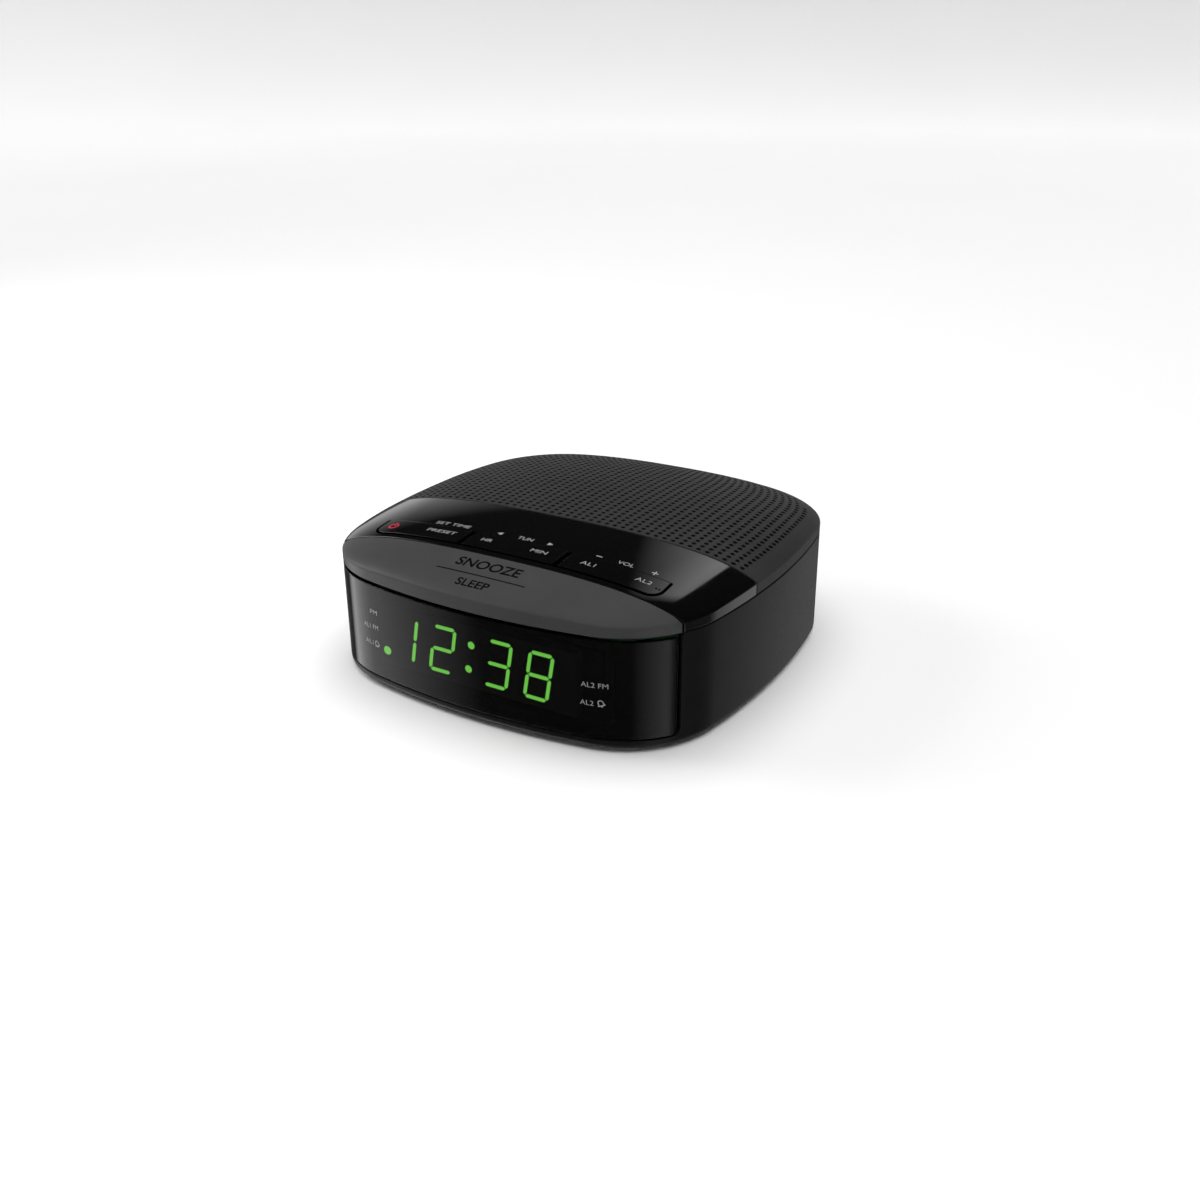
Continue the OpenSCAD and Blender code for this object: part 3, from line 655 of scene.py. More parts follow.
def ends_at_depth(angles, inset, y0, y1):
    """The same angles with the ends moved so that the drawn-in outline ends at those depths."""
    out = angles.copy()
    for end, y in ((0, y0), (-1, y1)):
        centre, radius = arc_of(out[end])
        s = (y - centre[1]) / (radius - inset)
        flip = math.cos(out[end]) < 0
        a = math.asin(s)
        exact = math.pi - a if flip else a
        out[end] += (exact - out[end] + math.pi) % (2 * math.pi) - math.pi
    return out


def crown_rows(rings):
    """Grid rows over the crown, from pairs of normal angles and insets; the first pair is the
    rim itself, where the crown meets the upright wall."""
    rows = [crown(rim(angles, inset)[0]) for angles, inset in rings]
    level = rim(rings[0][0])[1]
    rows[0][1][:] = np.concatenate([level, 0 * level[:, :1]], -1)
    return stacked(rows)


def rim_strip(skin, angles, y0, y1):
    """Skirt and steep edge of the crown along part of the outline. Returns its inner edge."""
    skin.grid(*skirt_rows(ends_at_depth(angles, 0.0, y0, y1), seam_h + gap + roll_r))
    points, normals = crown_rows([(ends_at_depth(angles, w, y0, y1), w) for w in rim_insets()])
    skin.grid(points, normals)
    return points[-1][:, :2]


def span(a, b, step):
    """Evenly spaced numbers from a to b, both included."""
    return np.linspace(a, b, max(2, int(round(abs(b - a) / step)) + 1))


def straight(x0, x1, y, step=2.0):
    """Points between two places on a line of constant depth, ends left out."""
    return [(x, y) for x in span(x0, x1, step)[1:-1]]


def lattice_point(u, y):
    """Plan point of the grille's own grid: columns follow the sides of the outline."""
    a = np.abs(y)
    on_side = side_c[0] + np.sqrt(np.maximum(side_bow_r**2 - a**2, 0))
    past = np.clip(a - corner_c[1], 0, corner_r)
    on_corner = corner_c[0] + np.sqrt(np.maximum(corner_r**2 - past**2, 0))
    h = np.where(a <= side_bow_r * math.sin(side_end), on_side, on_corner)
    return np.stack([u * h / half_w, y], -1)


def stitched(outer, inner):
    """Triangles between a convex loop of plan points and a ring inside it, both running
    anticlockwise. The outer loop's points come first in the numbering."""
    faces = []
    n_out, n_in = len(outer), len(inner)
    edges = np.roll(outer, -1, 0) - outer
    facing = np.argmax(np.stack([edges[:, 1], -edges[:, 0]], -1) @ inner.T, axis=1)
    at = int(facing[0])
    for i in range(n_out):
        after = (i + 1) % n_out
        faces.append([i, after, n_out + at])
        steps = (int(facing[after]) - at) % n_in
        for _ in range(steps if steps <= n_in / 2 else 0):
            faces.append([after, n_out + (at + 1) % n_in, n_out + at])
            at = (at + 1) % n_in
    return faces


def grille_cells(skin):
    """The pierced cells of the grille's lattice, up to a margin from the rim. Returns the edge
    of the pierced area as one loop of plan points."""
    half = np.array([[0, 0], [1, 0], [2, 0], [2, 1], [2, 2], [1, 2], [0, 2], [0, 1]])
    turn = 2 * math.pi * np.arange(hole_sides) / hole_sides
    ring_r = hole_r + hole_roll
    ring = ring_r * directions(turn)
    sides = []

    def node(i, j):
        u = (i / 2 - hole_columns / 2) * hole_pitch_x
        return lattice_point(u, first_row_y + (j / 2 - 0.5) * hole_pitch_y)

    for i in range(hole_columns):
        for j in range(hole_rows):
            nodes = np.array([2 * i, 2 * j]) + half
            centre = node(2 * i + 1.0, 2 * j + 1.0)
            if rim_distance(centre)[0] < hole_margin:
                continue
            around = node(*nodes.T.astype(float))
            room = 0.9 * edge_distance(centre[None], around)[0]
            fitted = centre + ring * min(1, room / ring_r)
            points, normals = crown(np.concatenate([around, fitted]))
            skin.add(points, normals, stitched(around, fitted))
            sides.append([tuple(a) for a in nodes])
    loop = max(open_loops(sides), key=len)
    return [tuple(node(float(i), float(j))) for i, j in loop]


def build_cover():
    """Perforated crown over the speaker."""
    skin = Skin()
    y = band_rear_y + gap / 2 + roll_r
    a = angle_at_depth(-y)
    inner = rim_strip(skin, rim_angles(-a, math.pi + a), y, y)
    lattice = grille_cells(skin)
    outer = [tuple(p) for p in inner] + straight(inner[-1][0], inner[0][0], y)
    skin.patch([outer, lattice], crown, (2.2, 2.2))
    cover = mesh_object("grille_cover", *moulding(skin, cover_t, small_roll=hole_roll))
    place(cover, "case", "cover_plastic", COVER, "top_cover")


def rounded_box(x0, x1, y0, y1, radii, steps=8):
    """Rectangle with its own corner radius at each corner: front left, front right, rear
    right, rear left."""
    corners = [(x0, y0, 180), (x1, y0, 270), (x1, y1, 0), (x0, y1, 90)]
    inward = [(1, 1), (-1, 1), (-1, -1), (1, -1)]
    loop = []
    for (x, y, start), (sx, sy), r in zip(corners, inward, radii):
        for k in range(steps + 1):
            t = math.radians(start + 90 * k / steps)
            loop.append((x + sx * r + r * math.cos(t), y + sy * r + r * math.sin(t)))
    return dense(loop, 2.0)


def dense(loop, step):
    """The same loop with its long edges divided."""
    out = []
    for (x0, y0), (x1, y1) in zip(loop, loop[1:] + loop[:1]):
        n = max(1, int(math.hypot(x1 - x0, y1 - y0) / step))
        out += [(x0 + (x1 - x0) * k / n, y0 + (y1 - y0) * k / n) for k in range(n)]
    return out


def keys_opening(grow):
    """Opening in the band for the row of keys, with the slot in front and at both ends."""
    x = keys_half_w + key_end_gap + grow
    y0 = key_rear_y - key_d - key_slot - grow
    y1 = key_rear_y + key_hairline + grow
    r = key_corner_r + (key_end_gap + key_slot) / 2 + grow
    return rounded_box(-x, x, y0, y1, (r, r, 0.4 + grow, 0.4 + grow))


def build_band():
    """Glossy band between the cover and the snooze bar."""
    skin = Skin()
    y0 = snooze_rear_y + gap / 2 + roll_r
    y1 = band_rear_y - gap / 2 - roll_r
    a0, a1 = angle_at_depth(-y0), angle_at_depth(-y1)
    right = rim_strip(skin, rim_angles(-a0, -a1), y0, y1)
    left = rim_strip(skin, rim_angles(math.pi + a1, math.pi + a0), y1, y0)
    outer = [tuple(left[-1])] + straight(left[-1][0], right[0][0], y0)
    outer += [tuple(p) for p in right] + straight(right[-1][0], left[0][0], y1)
    outer += [tuple(p) for p in left[:-1]]
    skin.patch([outer, keys_opening(key_roll)], crown, (2.0, 2.0))
    shell = moulding(skin, wall, small_roll=key_roll, small_limit=key_edge)
    band = mesh_object("control_band", *shell)
    place(band, "case", "gloss_black", GLOSS, "control_panel")


def build_key(name, body, end):
    """One rocker key; end is -1 or 1 where its outer front corner is rounded."""
    x0 = end * key_step - key_w / 2 + key_roll
    x1 = end * key_step + key_w / 2 - key_roll
    y0, y1 = key_rear_y - key_d + key_roll, key_rear_y - key_roll
    left_r, right_r = [key_corner_r - key_roll if end == side else key_inner_r for side in (-1, 1)]
    skin = Skin()
    loop = rounded_box(x0, x1, y0, y1, (left_r, right_r, key_inner_r, key_inner_r))
    skin.patch([loop], crown, (1.6, 1.6))
    key = mesh_object(name, *moulding(skin, key_t, key_roll))
    place(key, body, "gloss_black", GLOSS, name.replace("_cap", ""))


def build_snooze():
    """Snooze bar: the whole front of the crown, from the cut behind it down to the lens."""
    skin = Skin()
    y = snooze_rear_y - gap / 2 - roll_r
    a = angle_at_depth(-y)
    angles = rim_angles(math.pi + a, 2 * math.pi - a, 0.8)
    skin.grid(*skirt_rows(angles, snooze_low + roll_r, 4))
    centre, radius = arc_of(angles)
    reach = radius - (y - centre[:, 1]) / np.sin(angles)
    reach[[0, -1]] = 0
    turns = np.linspace(0, math.pi / 2, 30)
    skin.grid(*crown_rows([(angles, reach * (1 - math.cos(t))) for t in turns]))
    bar = mesh_object("snooze_bar_cap", *moulding(skin, wall))
    place(bar, "snooze", "snooze_plastic", SNOOZE, "snooze_bar")


# Distance along the outline, from the front's middle towards the right
RIM_ANGLES = rim_angles(-math.pi / 2, 3 * math.pi / 2)
RIM_STEPS = np.diff(RIM_ANGLES) * arc_of((RIM_ANGLES[1:] + RIM_ANGLES[:-1]) / 2)[1]
RIM_PATH = np.concatenate([[0], np.cumsum(RIM_STEPS)])
PERIMETER = RIM_PATH[-1]


def wall_map(p):
    """Upright wall over the flat drawing (distance along the outline, height)."""
    p = np.asarray(p, float)
    angle = np.interp(np.mod(p[:, 0], PERIMETER + 1e-9), RIM_PATH, RIM_ANGLES)
    return wall_points(angle, p[:, 1])


def path_at(x):
    """Distance along the outline of the corner's point that is x to the right, at the front."""
    a = math.acos((x - corner_c[0]) / corner_r)
    return float(np.interp(-a, RIM_ANGLES, RIM_PATH))


def path_at_depth(y):
    """Distance along the outline, on the right, of the point y in front of the middle."""
    return float(np.interp(-angle_at_depth(y), RIM_ANGLES, RIM_PATH))


def mirrored_wall(p):
    """Upright wall over the flat drawing, where the left half has negative distances."""
    points, normals = wall_map(np.stack([np.abs(p[:, 0]), p[:, 1]], -1))
    flip = np.where(p[:, 0] < 0, -1, 1)
    points[:, 0] *= flip
    normals[:, 0] *= flip
    return points, normals


def smooth_step(t):
    t = np.clip(t, 0, 1)
    return t * t * (3 - 2 * t)


def lens_depth(points, normals):
    """Thickness of the lens behind points of its face: up to a plane in front of the display,
    and growing from thin to thick outside it."""
    side = np.abs(points[:, 0])
    to_plane = (display_y - lens_clearance - points[:, 1]) / np.maximum(-normals[:, 1], 0.3)
    ends = smooth_step((side - lens_flat_half_w) / lens_blend)
    ends = lens_thin + (lens_thick - lens_thin) * ends
    return np.where(side < lens_flat_half_w, np.clip(to_plane, 0.6, 4), ends)


def build_lens():
    """Bowed smoked lens; its inside is flat where the display stands behind it."""
    grow = gap / 2 + roll_r
    s = path_at(lens_half_w - grow)
    r = lens_corner_r - grow
    loop = rounded_box(-s, s, lens_low + grow, lens_top - roll_r, (r, r, 0.2, 0.2))
    skin = Skin()
    skin.patch([loop], mirrored_wall, (1.8, 3.0))
    points, normals, faces = moulding(skin, 1.0)
    half = len(points) // 2
    outer, facing = points[:half], normals[:half]
    level = facing * (1, 1, 0)
    level /= np.maximum(np.linalg.norm(level, axis=1), 1e-6)[:, None]
    upright = np.abs(facing[:, 2]) < 0.5
    inner = outer - level * lens_depth(outer, facing)[:, None]
    points[half:] = np.where(upright[:, None], inner, points[half:])
    normals[half:][np.abs(outer[:, 0]) < lens_flat_half_w] = (0, 1, 0)
    lens = mesh_object("smoked_window", points, normals, faces)
    place(lens, "case", "smoked_lens", LENS, "front_lens")
    lens.data.materials.append(LENS_INSIDE)
    for face in lens.data.polygons:
        if min(face.vertices) >= half:
            face.material_index = 1


def circle_loop(x, y, r, n=40):
    return [tuple(p) for p in directions(2 * math.pi * np.arange(n) / n) * r + (x, y)]


def base_wall_loop():
    """Flat drawing of the base's upright wall: the lower edge all round, the window's left end,
    the cut under the snooze bar, the seam, the cut again and the window's right end."""
    grow = gap / 2 + roll_r
    s = path_at(lens_half_w + grow)
    low, r = lens_low - grow, lens_corner_r + grow
    cut_s, cut_z = path_at_depth(-(snooze_rear_y + gap)), lens_top - roll_r
    top_z = seam_h - roll_r
    turns = np.linspace(0, math.pi / 2, 9)
    corner = [(r * (1 - math.sin(t)), low + r * (1 - math.cos(t))) for t in turns]
    side = np.linspace(low + r, cut_z, 10)
    back = RIM_PATH[::-1]
    loop = [(x, base_low + foot_edge) for x in RIM_PATH] + [(PERIMETER, low)]
    loop += [(x, low) for x in back if PERIMETER - s + r < x < PERIMETER]
    loop += [(PERIMETER - s + x, z) for x, z in corner]
    loop += [(PERIMETER - s, z) for z in side[1:]]
    loop += [(PERIMETER - cut_s, cut_z), (PERIMETER - cut_s, top_z)]
    loop += [(x, top_z) for x in back if cut_s < x < PERIMETER - cut_s]
    loop += [(cut_s, top_z), (cut_s, cut_z)]
    loop += [(s, z) for z in side[::-1]] + [(s - x, z) for x, z in corner[-2::-1]]
    return loop + [(x, low) for x in back if 0 < x < s - r] + [(0, low)]


def underside_openings():
    """Foot seats, screw holes, vents, and the way of the battery door."""
    holes = [circle_loop(x, y, foot_seat_r + roll_r) for x, y in FEET]
    holes += [circle_loop(x, y, screw_hole_r + roll_r, 24) for x, y in SCREW_HOLES]
    holes += [
        rounded_box(x0 - roll_r, x1 + roll_r, y0 - roll_r, y1 + roll_r, (vent_corner_r,) * 4)
        for x0, y0, x1, y1 in VENTS
    ]
    lo, hi = box_of("battery_door")
    end_gap, flange = 0.3 + roll_r, 0.8
    holes.append(rounded_box(lo.x - end_gap, hi.x + door_travel + 0.5, lo.y + flange - roll_r,
                             hi.y - flange + roll_r, (0.6,) * 4))
    return holes


def underside(p):
    """Flat underside over the plan, facing down."""
    z = np.full((len(p), 1), base_low)
    return np.concatenate([p, z], -1), np.concatenate([p * 0, z * 0 - 1], -1)


def build_base():
    """Dark base: rounded lower edge, upright wall with the front window, and the underside."""
    skin = Skin()
    angles = rim_angles(-math.pi / 2, 3 * math.pi / 2)
    rows = []
    for t in np.linspace(0, math.pi / 2, 7):
        p, n = rim(angles, foot_edge * (1 - math.sin(t)))
        z = np.full((len(p), 1), base_low + foot_edge * (1 - math.cos(t)))
        rows.append((np.concatenate([p, z], -1),
                     np.concatenate([n * math.sin(t), z * 0 - math.cos(t)], -1)))
    skin.grid(*stacked(rows))
    skin.patch([base_wall_loop()], wall_map, (3.0, 4.0))
    edge = [tuple(p) for p in rim(angles[:-1], foot_edge)[0]]
    skin.patch([edge] + underside_openings(), underside, (4.0, 4.0))
    base = mesh_object("base_tub", *moulding(skin, wall))
    place(base, "case", "base_plastic", BASE, "base_shell")


def flat_shaded(obj):
    obj.data.polygons.foreach_set("use_smooth", [False] * len(obj.data.polygons))
    obj.data.update()
    return obj


def soften(obj, width):
    """Rounds an object's sharp edges."""
    bevel = obj.modifiers.new("softened", "BEVEL")
    bevel.width = width * MM
    bevel.segments = 3
    bevel.limit_method = "ANGLE"


BOX_FACES = ([0, 1, 3, 2], [4, 6, 7, 5], [0, 4, 5, 1], [2, 3, 7, 6], [0, 2, 6, 4], [1, 5, 7, 3])


def plates(name, boxes):
    """One piece made of several softened plates, each given by its low and high corner."""
    points, faces = [], []
    for box in boxes:
        xs, ys, zs = zip(*box)
        faces += [[len(points) + i for i in f] for f in BOX_FACES]
        points += [(x, y, z) for x in xs for y in ys for z in zs]
    obj = flat_shaded(mesh_object(name, np.array(points), None, faces))
    soften(obj, 0.3)
    return obj


def build_bay():
    """Battery bay inside the base, and the track that the door slides in."""
    door_lo, door_hi = box_of("battery_door")
    x0, x1 = door_lo.x + 0.7, door_hi.x - 0.9
    y0, y1 = door_lo.y + 1.8, door_hi.y - 1.8
    low, ledge = base_low + 1.6, base_low + 3.4
    roof = box_of("backup_cells")[1].z + 0.4
    rail, t = 3.0, 1.2
    end = x1 + door_travel + 2.2
    bay = plates("battery_bay", [
        ((x1, y0 - rail, low), (end, y1 + rail, ledge)),
        ((x0 - rail, y0 - rail, low + 0.05), (x0, y1 + rail, ledge)),
        ((x0 - t, y0 - rail, low + 0.1), (x1 + t, y0, ledge)),
        ((x0 - t, y1, low + 0.1), (x1 + t, y1 + rail, ledge)),
        ((x0 - t, y0 - t, ledge - 0.5), (x0, y1 + t, roof + t)),
        ((x1, y0 - t, ledge - 0.5), (x1 + t, y1 + t, roof + t)),
        ((x0 - t, y0 - t, ledge - 0.5), (x1 + t, y0, roof + t)),
        ((x0 - t, y1, ledge - 0.5), (x1 + t, y1 + t, roof + t)),
        ((x0 - t, y0 - t, roof), (x1 + t, y1 + t, roof + t)),
    ])
    place(bay, "case", "base_plastic", BASE, "base_shell")


def build_springs():
    """The two coil springs under the snooze bar, built in one fixed shape."""
    lo, hi = box_of("snooze_springs")
    wire, turns, steps, sides, pressed_share = 0.3, 3, 144, 8, 0.78
    radius = (hi.y - lo.y) / 2 - wire
    z0, z1 = lo.z + wire, hi.z - wire
    ring_turn = np.arange(sides) * 2 * math.pi / sides
    reach = radius + wire * np.cos(ring_turn)
    points, faces = [], []
    for x in (lo.x + radius + wire, hi.x - radius - wire):
        faces.append([len(points) + i for i in range(sides)])
        for k in range(steps + 1):
            a = 2 * math.pi * turns * k / steps
            level = z0 + (z1 - z0) * k / steps + wire * np.sin(ring_turn)
            ring = list(range(len(points), len(points) + sides))
            if k:
                faces += [[i - sides, j - sides, j, i] for i, j in zip(ring, ring[1:] + ring[:1])]
            y = (lo.y + hi.y) / 2 + reach * math.sin(a)
            points += list(zip(x + reach * math.cos(a), y, level))
        faces.append(ring[::-1])
    springs = mesh_object("coil_springs", np.array(points), None, faces)
    place(springs, "case", "steel", STEEL, "snooze_springs")
    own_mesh(springs)


# ---------------------------------------------------------------- display
def bar_outline(length, thick):
    """Flat bar with pointed ends."""
    h, l = thick / 2, length / 2
    return np.array([(-l, 0), (-l + h, -h), (l - h, -h), (l, 0), (l - h, h), (-l + h, h)])


SEGMENTS = {
    "a": (0, 1, False), "b": (1, 0.5, True), "c": (1, -0.5, True), "d": (0, -1, False),
    "e": (-1, -0.5, True), "f": (-1, 0.5, True), "g": (0, 0, False),
}
LIT_SEGMENTS = {"1": "bc", "2": "abged", "3": "abgcd", "8": "abcdefg"}
SHOWN = "1238"


def segment_shape(centre, name):
    """Outline of one bar of a digit on the display's face, leaning like the digit."""
    side, level, upright = SEGMENTS[name]
    half = digit_h / 2 - bar_t / 2
    length = (half if upright else cell_w - bar_t) - bar_gap
    shape = bar_outline(length, bar_t)
    if upright:
        shape = shape[:, ::-1]
    x = side * (cell_w - bar_t) / 2 + shape[:, 0]
    z = level * half + shape[:, 1]
    return np.stack([centre + x + z * math.tan(digit_lean), display_mid + z], -1)


def raised(shapes, y_back, y_front, bevel):
    """Low plates with a bevelled front edge, from outlines on the display's face."""
    points, faces = [], []
    for shape in shapes:
        n, first = len(shape), len(points)
        middle = shape.mean(0)
        shrunk = middle + (shape - middle) * (1 - bevel / np.abs(shape - middle).max())
        rings = [(shape, y_back), (shape, y_front + bevel), (shrunk, y_front)]
        for ring, y in rings:
            points += [(x, y, z) for x, z in ring]
        for k in range(2):
            a, b = first + k * n, first + (k + 1) * n
            faces += [[a + i, a + (i + 1) % n, b + (i + 1) % n, b + i] for i in range(n)]
        faces.append([first + 2 * n + i for i in range(n)])
        faces.append([first + i for i in reversed(range(n))])
    return np.array(points), None, faces


def upright_discs(places, r):
    """Outlines of discs on the display's face, at heights from its middle."""
    turn = directions(np.linspace(0, 2 * math.pi, 29)[:-1])
    return [turn * r + (x, display_mid + z) for x, z in places]


def face_piece(name, shapes, *node):
    """Raised shapes on the display's face: lit where they stand for a CAD node."""
    height, bevel = (0.1, 0.05) if node else (0.06, 0.03)
    obj = flat_shaded(mesh_object(name, *raised(shapes, display_y, display_y - height, bevel)))
    place(obj, "case", "lit_green" if node else "display_face", LIT if node else UNLIT, *node)


def build_digits():
    """Lit and unlit bars of the four digits, the colon and the lamps beside them."""
    lit, unlit = [], []
    for centre, digit in zip(digit_centres, SHOWN):
        for name in SEGMENTS:
            (lit if name in LIT_SEGMENTS[digit] else unlit).append(segment_shape(centre, name))
    colon = [(digits_x + z * math.tan(digit_lean), z) for z in (-colon_z, colon_z)]
    low, middle, high = lamp_levels
    dark_lamps = [(-lamp_x, middle), (-lamp_x, high), (lamp_x, low), (lamp_x, middle)]
    face_piece("lit_bars", lit + upright_discs(colon, colon_r), "digit_segments")
    face_piece("unlit_bars", unlit)
    face_piece("lit_lamp", upright_discs([(-lamp_x, low)], lit_lamp_r), "status_lamps")
    face_piece("unlit_lamps", upright_discs(dark_lamps, dark_lamp_r))


# ---------------------------------------------------------------- legends
def glyph_mesh(text, height, weight):
    """Flat mesh of a word in the built-in font: points centred on its middle, and faces."""
    curve = bpy.data.curves.new("legend", "FONT")
    curve.offset = weight
    curve.body = text
    curve.size = 1.0
    curve.resolution_u = 6
    obj = bpy.data.objects.new("legend", curve)
    bpy.context.scene.collection.objects.link(obj)
    bpy.context.view_layer.update()
    mesh = bpy.data.meshes.new_from_object(obj)
    p = np.array([v.co[:2] for v in mesh.vertices])
    faces = [list(f.vertices) for f in mesh.polygons]
    bpy.data.objects.remove(obj)
    lo, hi = p.min(0), p.max(0)
    return (p - (lo + hi) / 2) * height / (hi[1] - lo[1]), faces


def decal(shapes, surface, lift):
    """Thin ink, or the painted shade of engraved letters, on a surface, from flat meshes drawn in
    the surface's own plane.
    """
    sink = 0.02
    points, faces = [], []
    for p, shape_faces in shapes:
        base, normals = surface(p)
        first, n = len(points), len(p)
        points += list(base + normals * lift) + list(base - normals * sink)
        for f in shape_faces:
            faces.append([first + i for i in f])
            faces.append([first + n + i for i in reversed(f)])
        for a, b in open_edges(shape_faces):
            faces.append([first + b, first + a, first + n + a, first + n + b])
    return np.array(points), None, faces


def word(text, x, y, height, width, weight=-0.004):
    """Flat word of one height and width, centred on a point."""
    p, faces = glyph_mesh(text, height, weight)
    p[:, 0] *= width / (p[:, 0].max() - p[:, 0].min())
    return p + (x, y), faces


def ring_shape(x, y, r, thick, start=0.0, end=360.0):
    """Flat ring or part of one."""
    n = 28
    turn = directions(np.radians(np.linspace(start, end, n)))
    p = np.concatenate([turn * r, turn * (r - thick)]) + (x, y)
    return p, [[i, i + 1, n + i + 1, n + i] for i in range(n - 1)]


def bar_shape(x0, y0, x1, y1, thick, n=1):
    """Flat bar from one point to another, in n lengths."""
    a, b = np.array([x0, y0]), np.array([x1, y1])
    side = np.array([-(b - a)[1], (b - a)[0]]) / np.linalg.norm(b - a) * thick / 2
    t = np.linspace(0, 1, n + 1)[:, None]
    p = np.concatenate([a + (b - a) * t - side, a + (b - a) * t + side])
    return p, [[i, i + 1, n + 2 + i, n + 1 + i] for i in range(n)]


def arrow_shape(x, y, size, way):
    """Flat triangle that points to the right, or to the left where way is -1."""
    half, back = size / 2, x - way * size / 2
    p = np.array([(back, y - half), (x + way * half, y), (back, y + half)])
    return p, [[0, 1, 2] if way > 0 else [0, 2, 1]]


def stroke(points, thick):
    """Flat line of one thickness through the points."""
    p = np.array(points, float)
    along = np.gradient(p, axis=0)
    along /= np.linalg.norm(along, axis=1)[:, None]
    side = np.stack([-along[:, 1], along[:, 0]], -1) * thick / 2
    n = len(p)
    faces = [[i, i + 1, n + i + 1, n + i] for i in range(n - 1)]
    return np.concatenate([p - side, p + side]), faces


def bell_shapes(x, y, h, degrees):
    """Small outlined alarm bell, tipped over: domed body, foot and clapper."""
    t = np.linspace(-math.pi / 2, math.pi / 2, 15)
    dome = np.stack([0.30 * h * np.sin(t), 0.02 * h + 0.42 * h * np.abs(np.cos(t)) ** 0.7], -1)
    foot = [(0.44 * h, -0.24 * h), (-0.44 * h, -0.24 * h)]
    outline = np.concatenate([[(-0.44 * h, -0.24 * h), (-0.31 * h, -0.16 * h)], dome,
                              [(0.31 * h, -0.16 * h), (0.44 * h, -0.24 * h)]])
    a = math.radians(degrees)
    rot = np.array([[math.cos(a), math.sin(a)], [-math.sin(a), math.cos(a)]])
    shapes = [stroke(outline, 0.12 * h), stroke(foot, 0.12 * h),
              ring_shape(0, -0.34 * h, 0.12 * h, 0.11 * h)]
    return [(p @ rot + (x, y), faces) for p, faces in shapes]


def front_surface(p):
    """Lens face over (x, z)."""
    p = np.asarray(p, float)
    x = p[:, 0]
    bow = np.abs(x) <= bow_end_x
    y_bow = -(bow_c[1] + np.sqrt(front_bow_r**2 - x**2))
    dx = np.clip(np.abs(x) - corner_c[0], 0, corner_r)
    y_corner = -(corner_c[1] + np.sqrt(corner_r**2 - dx**2))
    y = np.where(bow, y_bow, y_corner)
    n_bow = np.stack([x, y + bow_c[1]], -1)
    n_corner = np.stack([np.sign(x) * dx, y + corner_c[1]], -1)
    n = np.where(bow[:, None], n_bow, n_corner)
    n /= np.linalg.norm(n, axis=1)[:, None]
    return np.stack([x, y, p[:, 1]], -1), np.stack([n[:, 0], n[:, 1], 0 * x], -1)


def add_legend(name, shapes, surface, body, slot, material, lift=0.02):
    """One piece of lettering that rides on a body."""
    obj = flat_shaded(mesh_object(name, *decal(shapes, surface, lift)))
    place(obj, body, slot, material)


def build_legends():
    """Plain function words and signs on the band, keys, snooze bar and lens."""
    row_1, row_2 = -34.0, -39.3
    add_legend("band_legends", [
        word("SET TIME", -26.0, row_1, 1.75, 12.6),
        arrow_shape(-8.9, row_1, 1.7, -1),
        word("TUN", 0.2, row_1, 1.75, 5.2),
        arrow_shape(8.9, row_1, 1.7, 1),
        bar_shape(24.3, row_1, 26.3, row_1, 0.4),
        word("VOL", 34.0, row_1, 1.75, 5.2),
        bar_shape(42.2, row_1, 44.2, row_1, 0.4),
        bar_shape(43.2, row_1 - 1, 43.2, row_1 + 1, 0.4),
    ], crown, "case", "gloss_black", LEGEND)
    add_legend("power_key_legend", [word("PRESET", -26.4, row_2, 1.75, 10.4)],
               crown, "power_rocker", "gloss_black", LEGEND)
    add_legend("power_sign", [
        ring_shape(-44.6, row_2 - 0.4, 1.7, 0.5, -240, 60),
        bar_shape(-44.6, row_2 - 0.2, -44.6, row_2 + 1.8, 0.5),
    ], crown, "power_rocker", "gloss_black", POWER_RED)
    add_legend("tuning_key_legend", [
        word("HR", -9.8, row_2, 1.75, 3.6), word("MIN", 8.4, row_2, 1.75, 5.4),
    ], crown, "tuning_rocker", "gloss_black", LEGEND)
    add_legend("volume_key_legend", [
        word("AL1", 24.8, row_2, 1.75, 4.6), word("AL2", 42.6, row_2, 1.75, 5.0),
    ], crown, "volume_rocker", "gloss_black", LEGEND)
    add_legend("tactile_dots", [
        ring_shape(x, row_2 - 1.0, 0.3, 0.29) for x in (47.0, 48.0)
    ], crown, "volume_rocker", "gloss_black", GLOSS, 0.25)
    # The engraved SNOOZE and SLEEP letters and their line are flush inlays in painted shade, not
    # cut grooves
    add_legend("snooze_legend", [
        word("SNOOZE", 0, -52.2, 3.9, 21.6, 0.012),
        bar_shape(-15.1, -56.8, 15.1, -56.8, 0.35, 16),
        word("SLEEP", 0, -60.3, 2.7, 10.8, 0.012),
    ], crown, "snooze", "snooze_plastic", ENGRAVING_SHADE, 0.05)
    add_legend("lens_legends", [
        word("PM", -35.5, 25.0, 1.45, 3.0),
        word("AL1 FM", -37.2, 20.1, 1.45, 6.4),
        word("AL1", -38.4, 14.8, 1.45, 3.6),
        word("AL2 FM", 39.8, 20.4, 1.45, 7.4),
        word("AL2", 37.7, 14.9, 1.45, 3.8),
        *bell_shapes(-34.9, 14.7, 2.3, 20),
        *bell_shapes(41.6, 15.0, 2.3, 20),
    ], front_surface, "case", "smoked_lens", LEGEND)


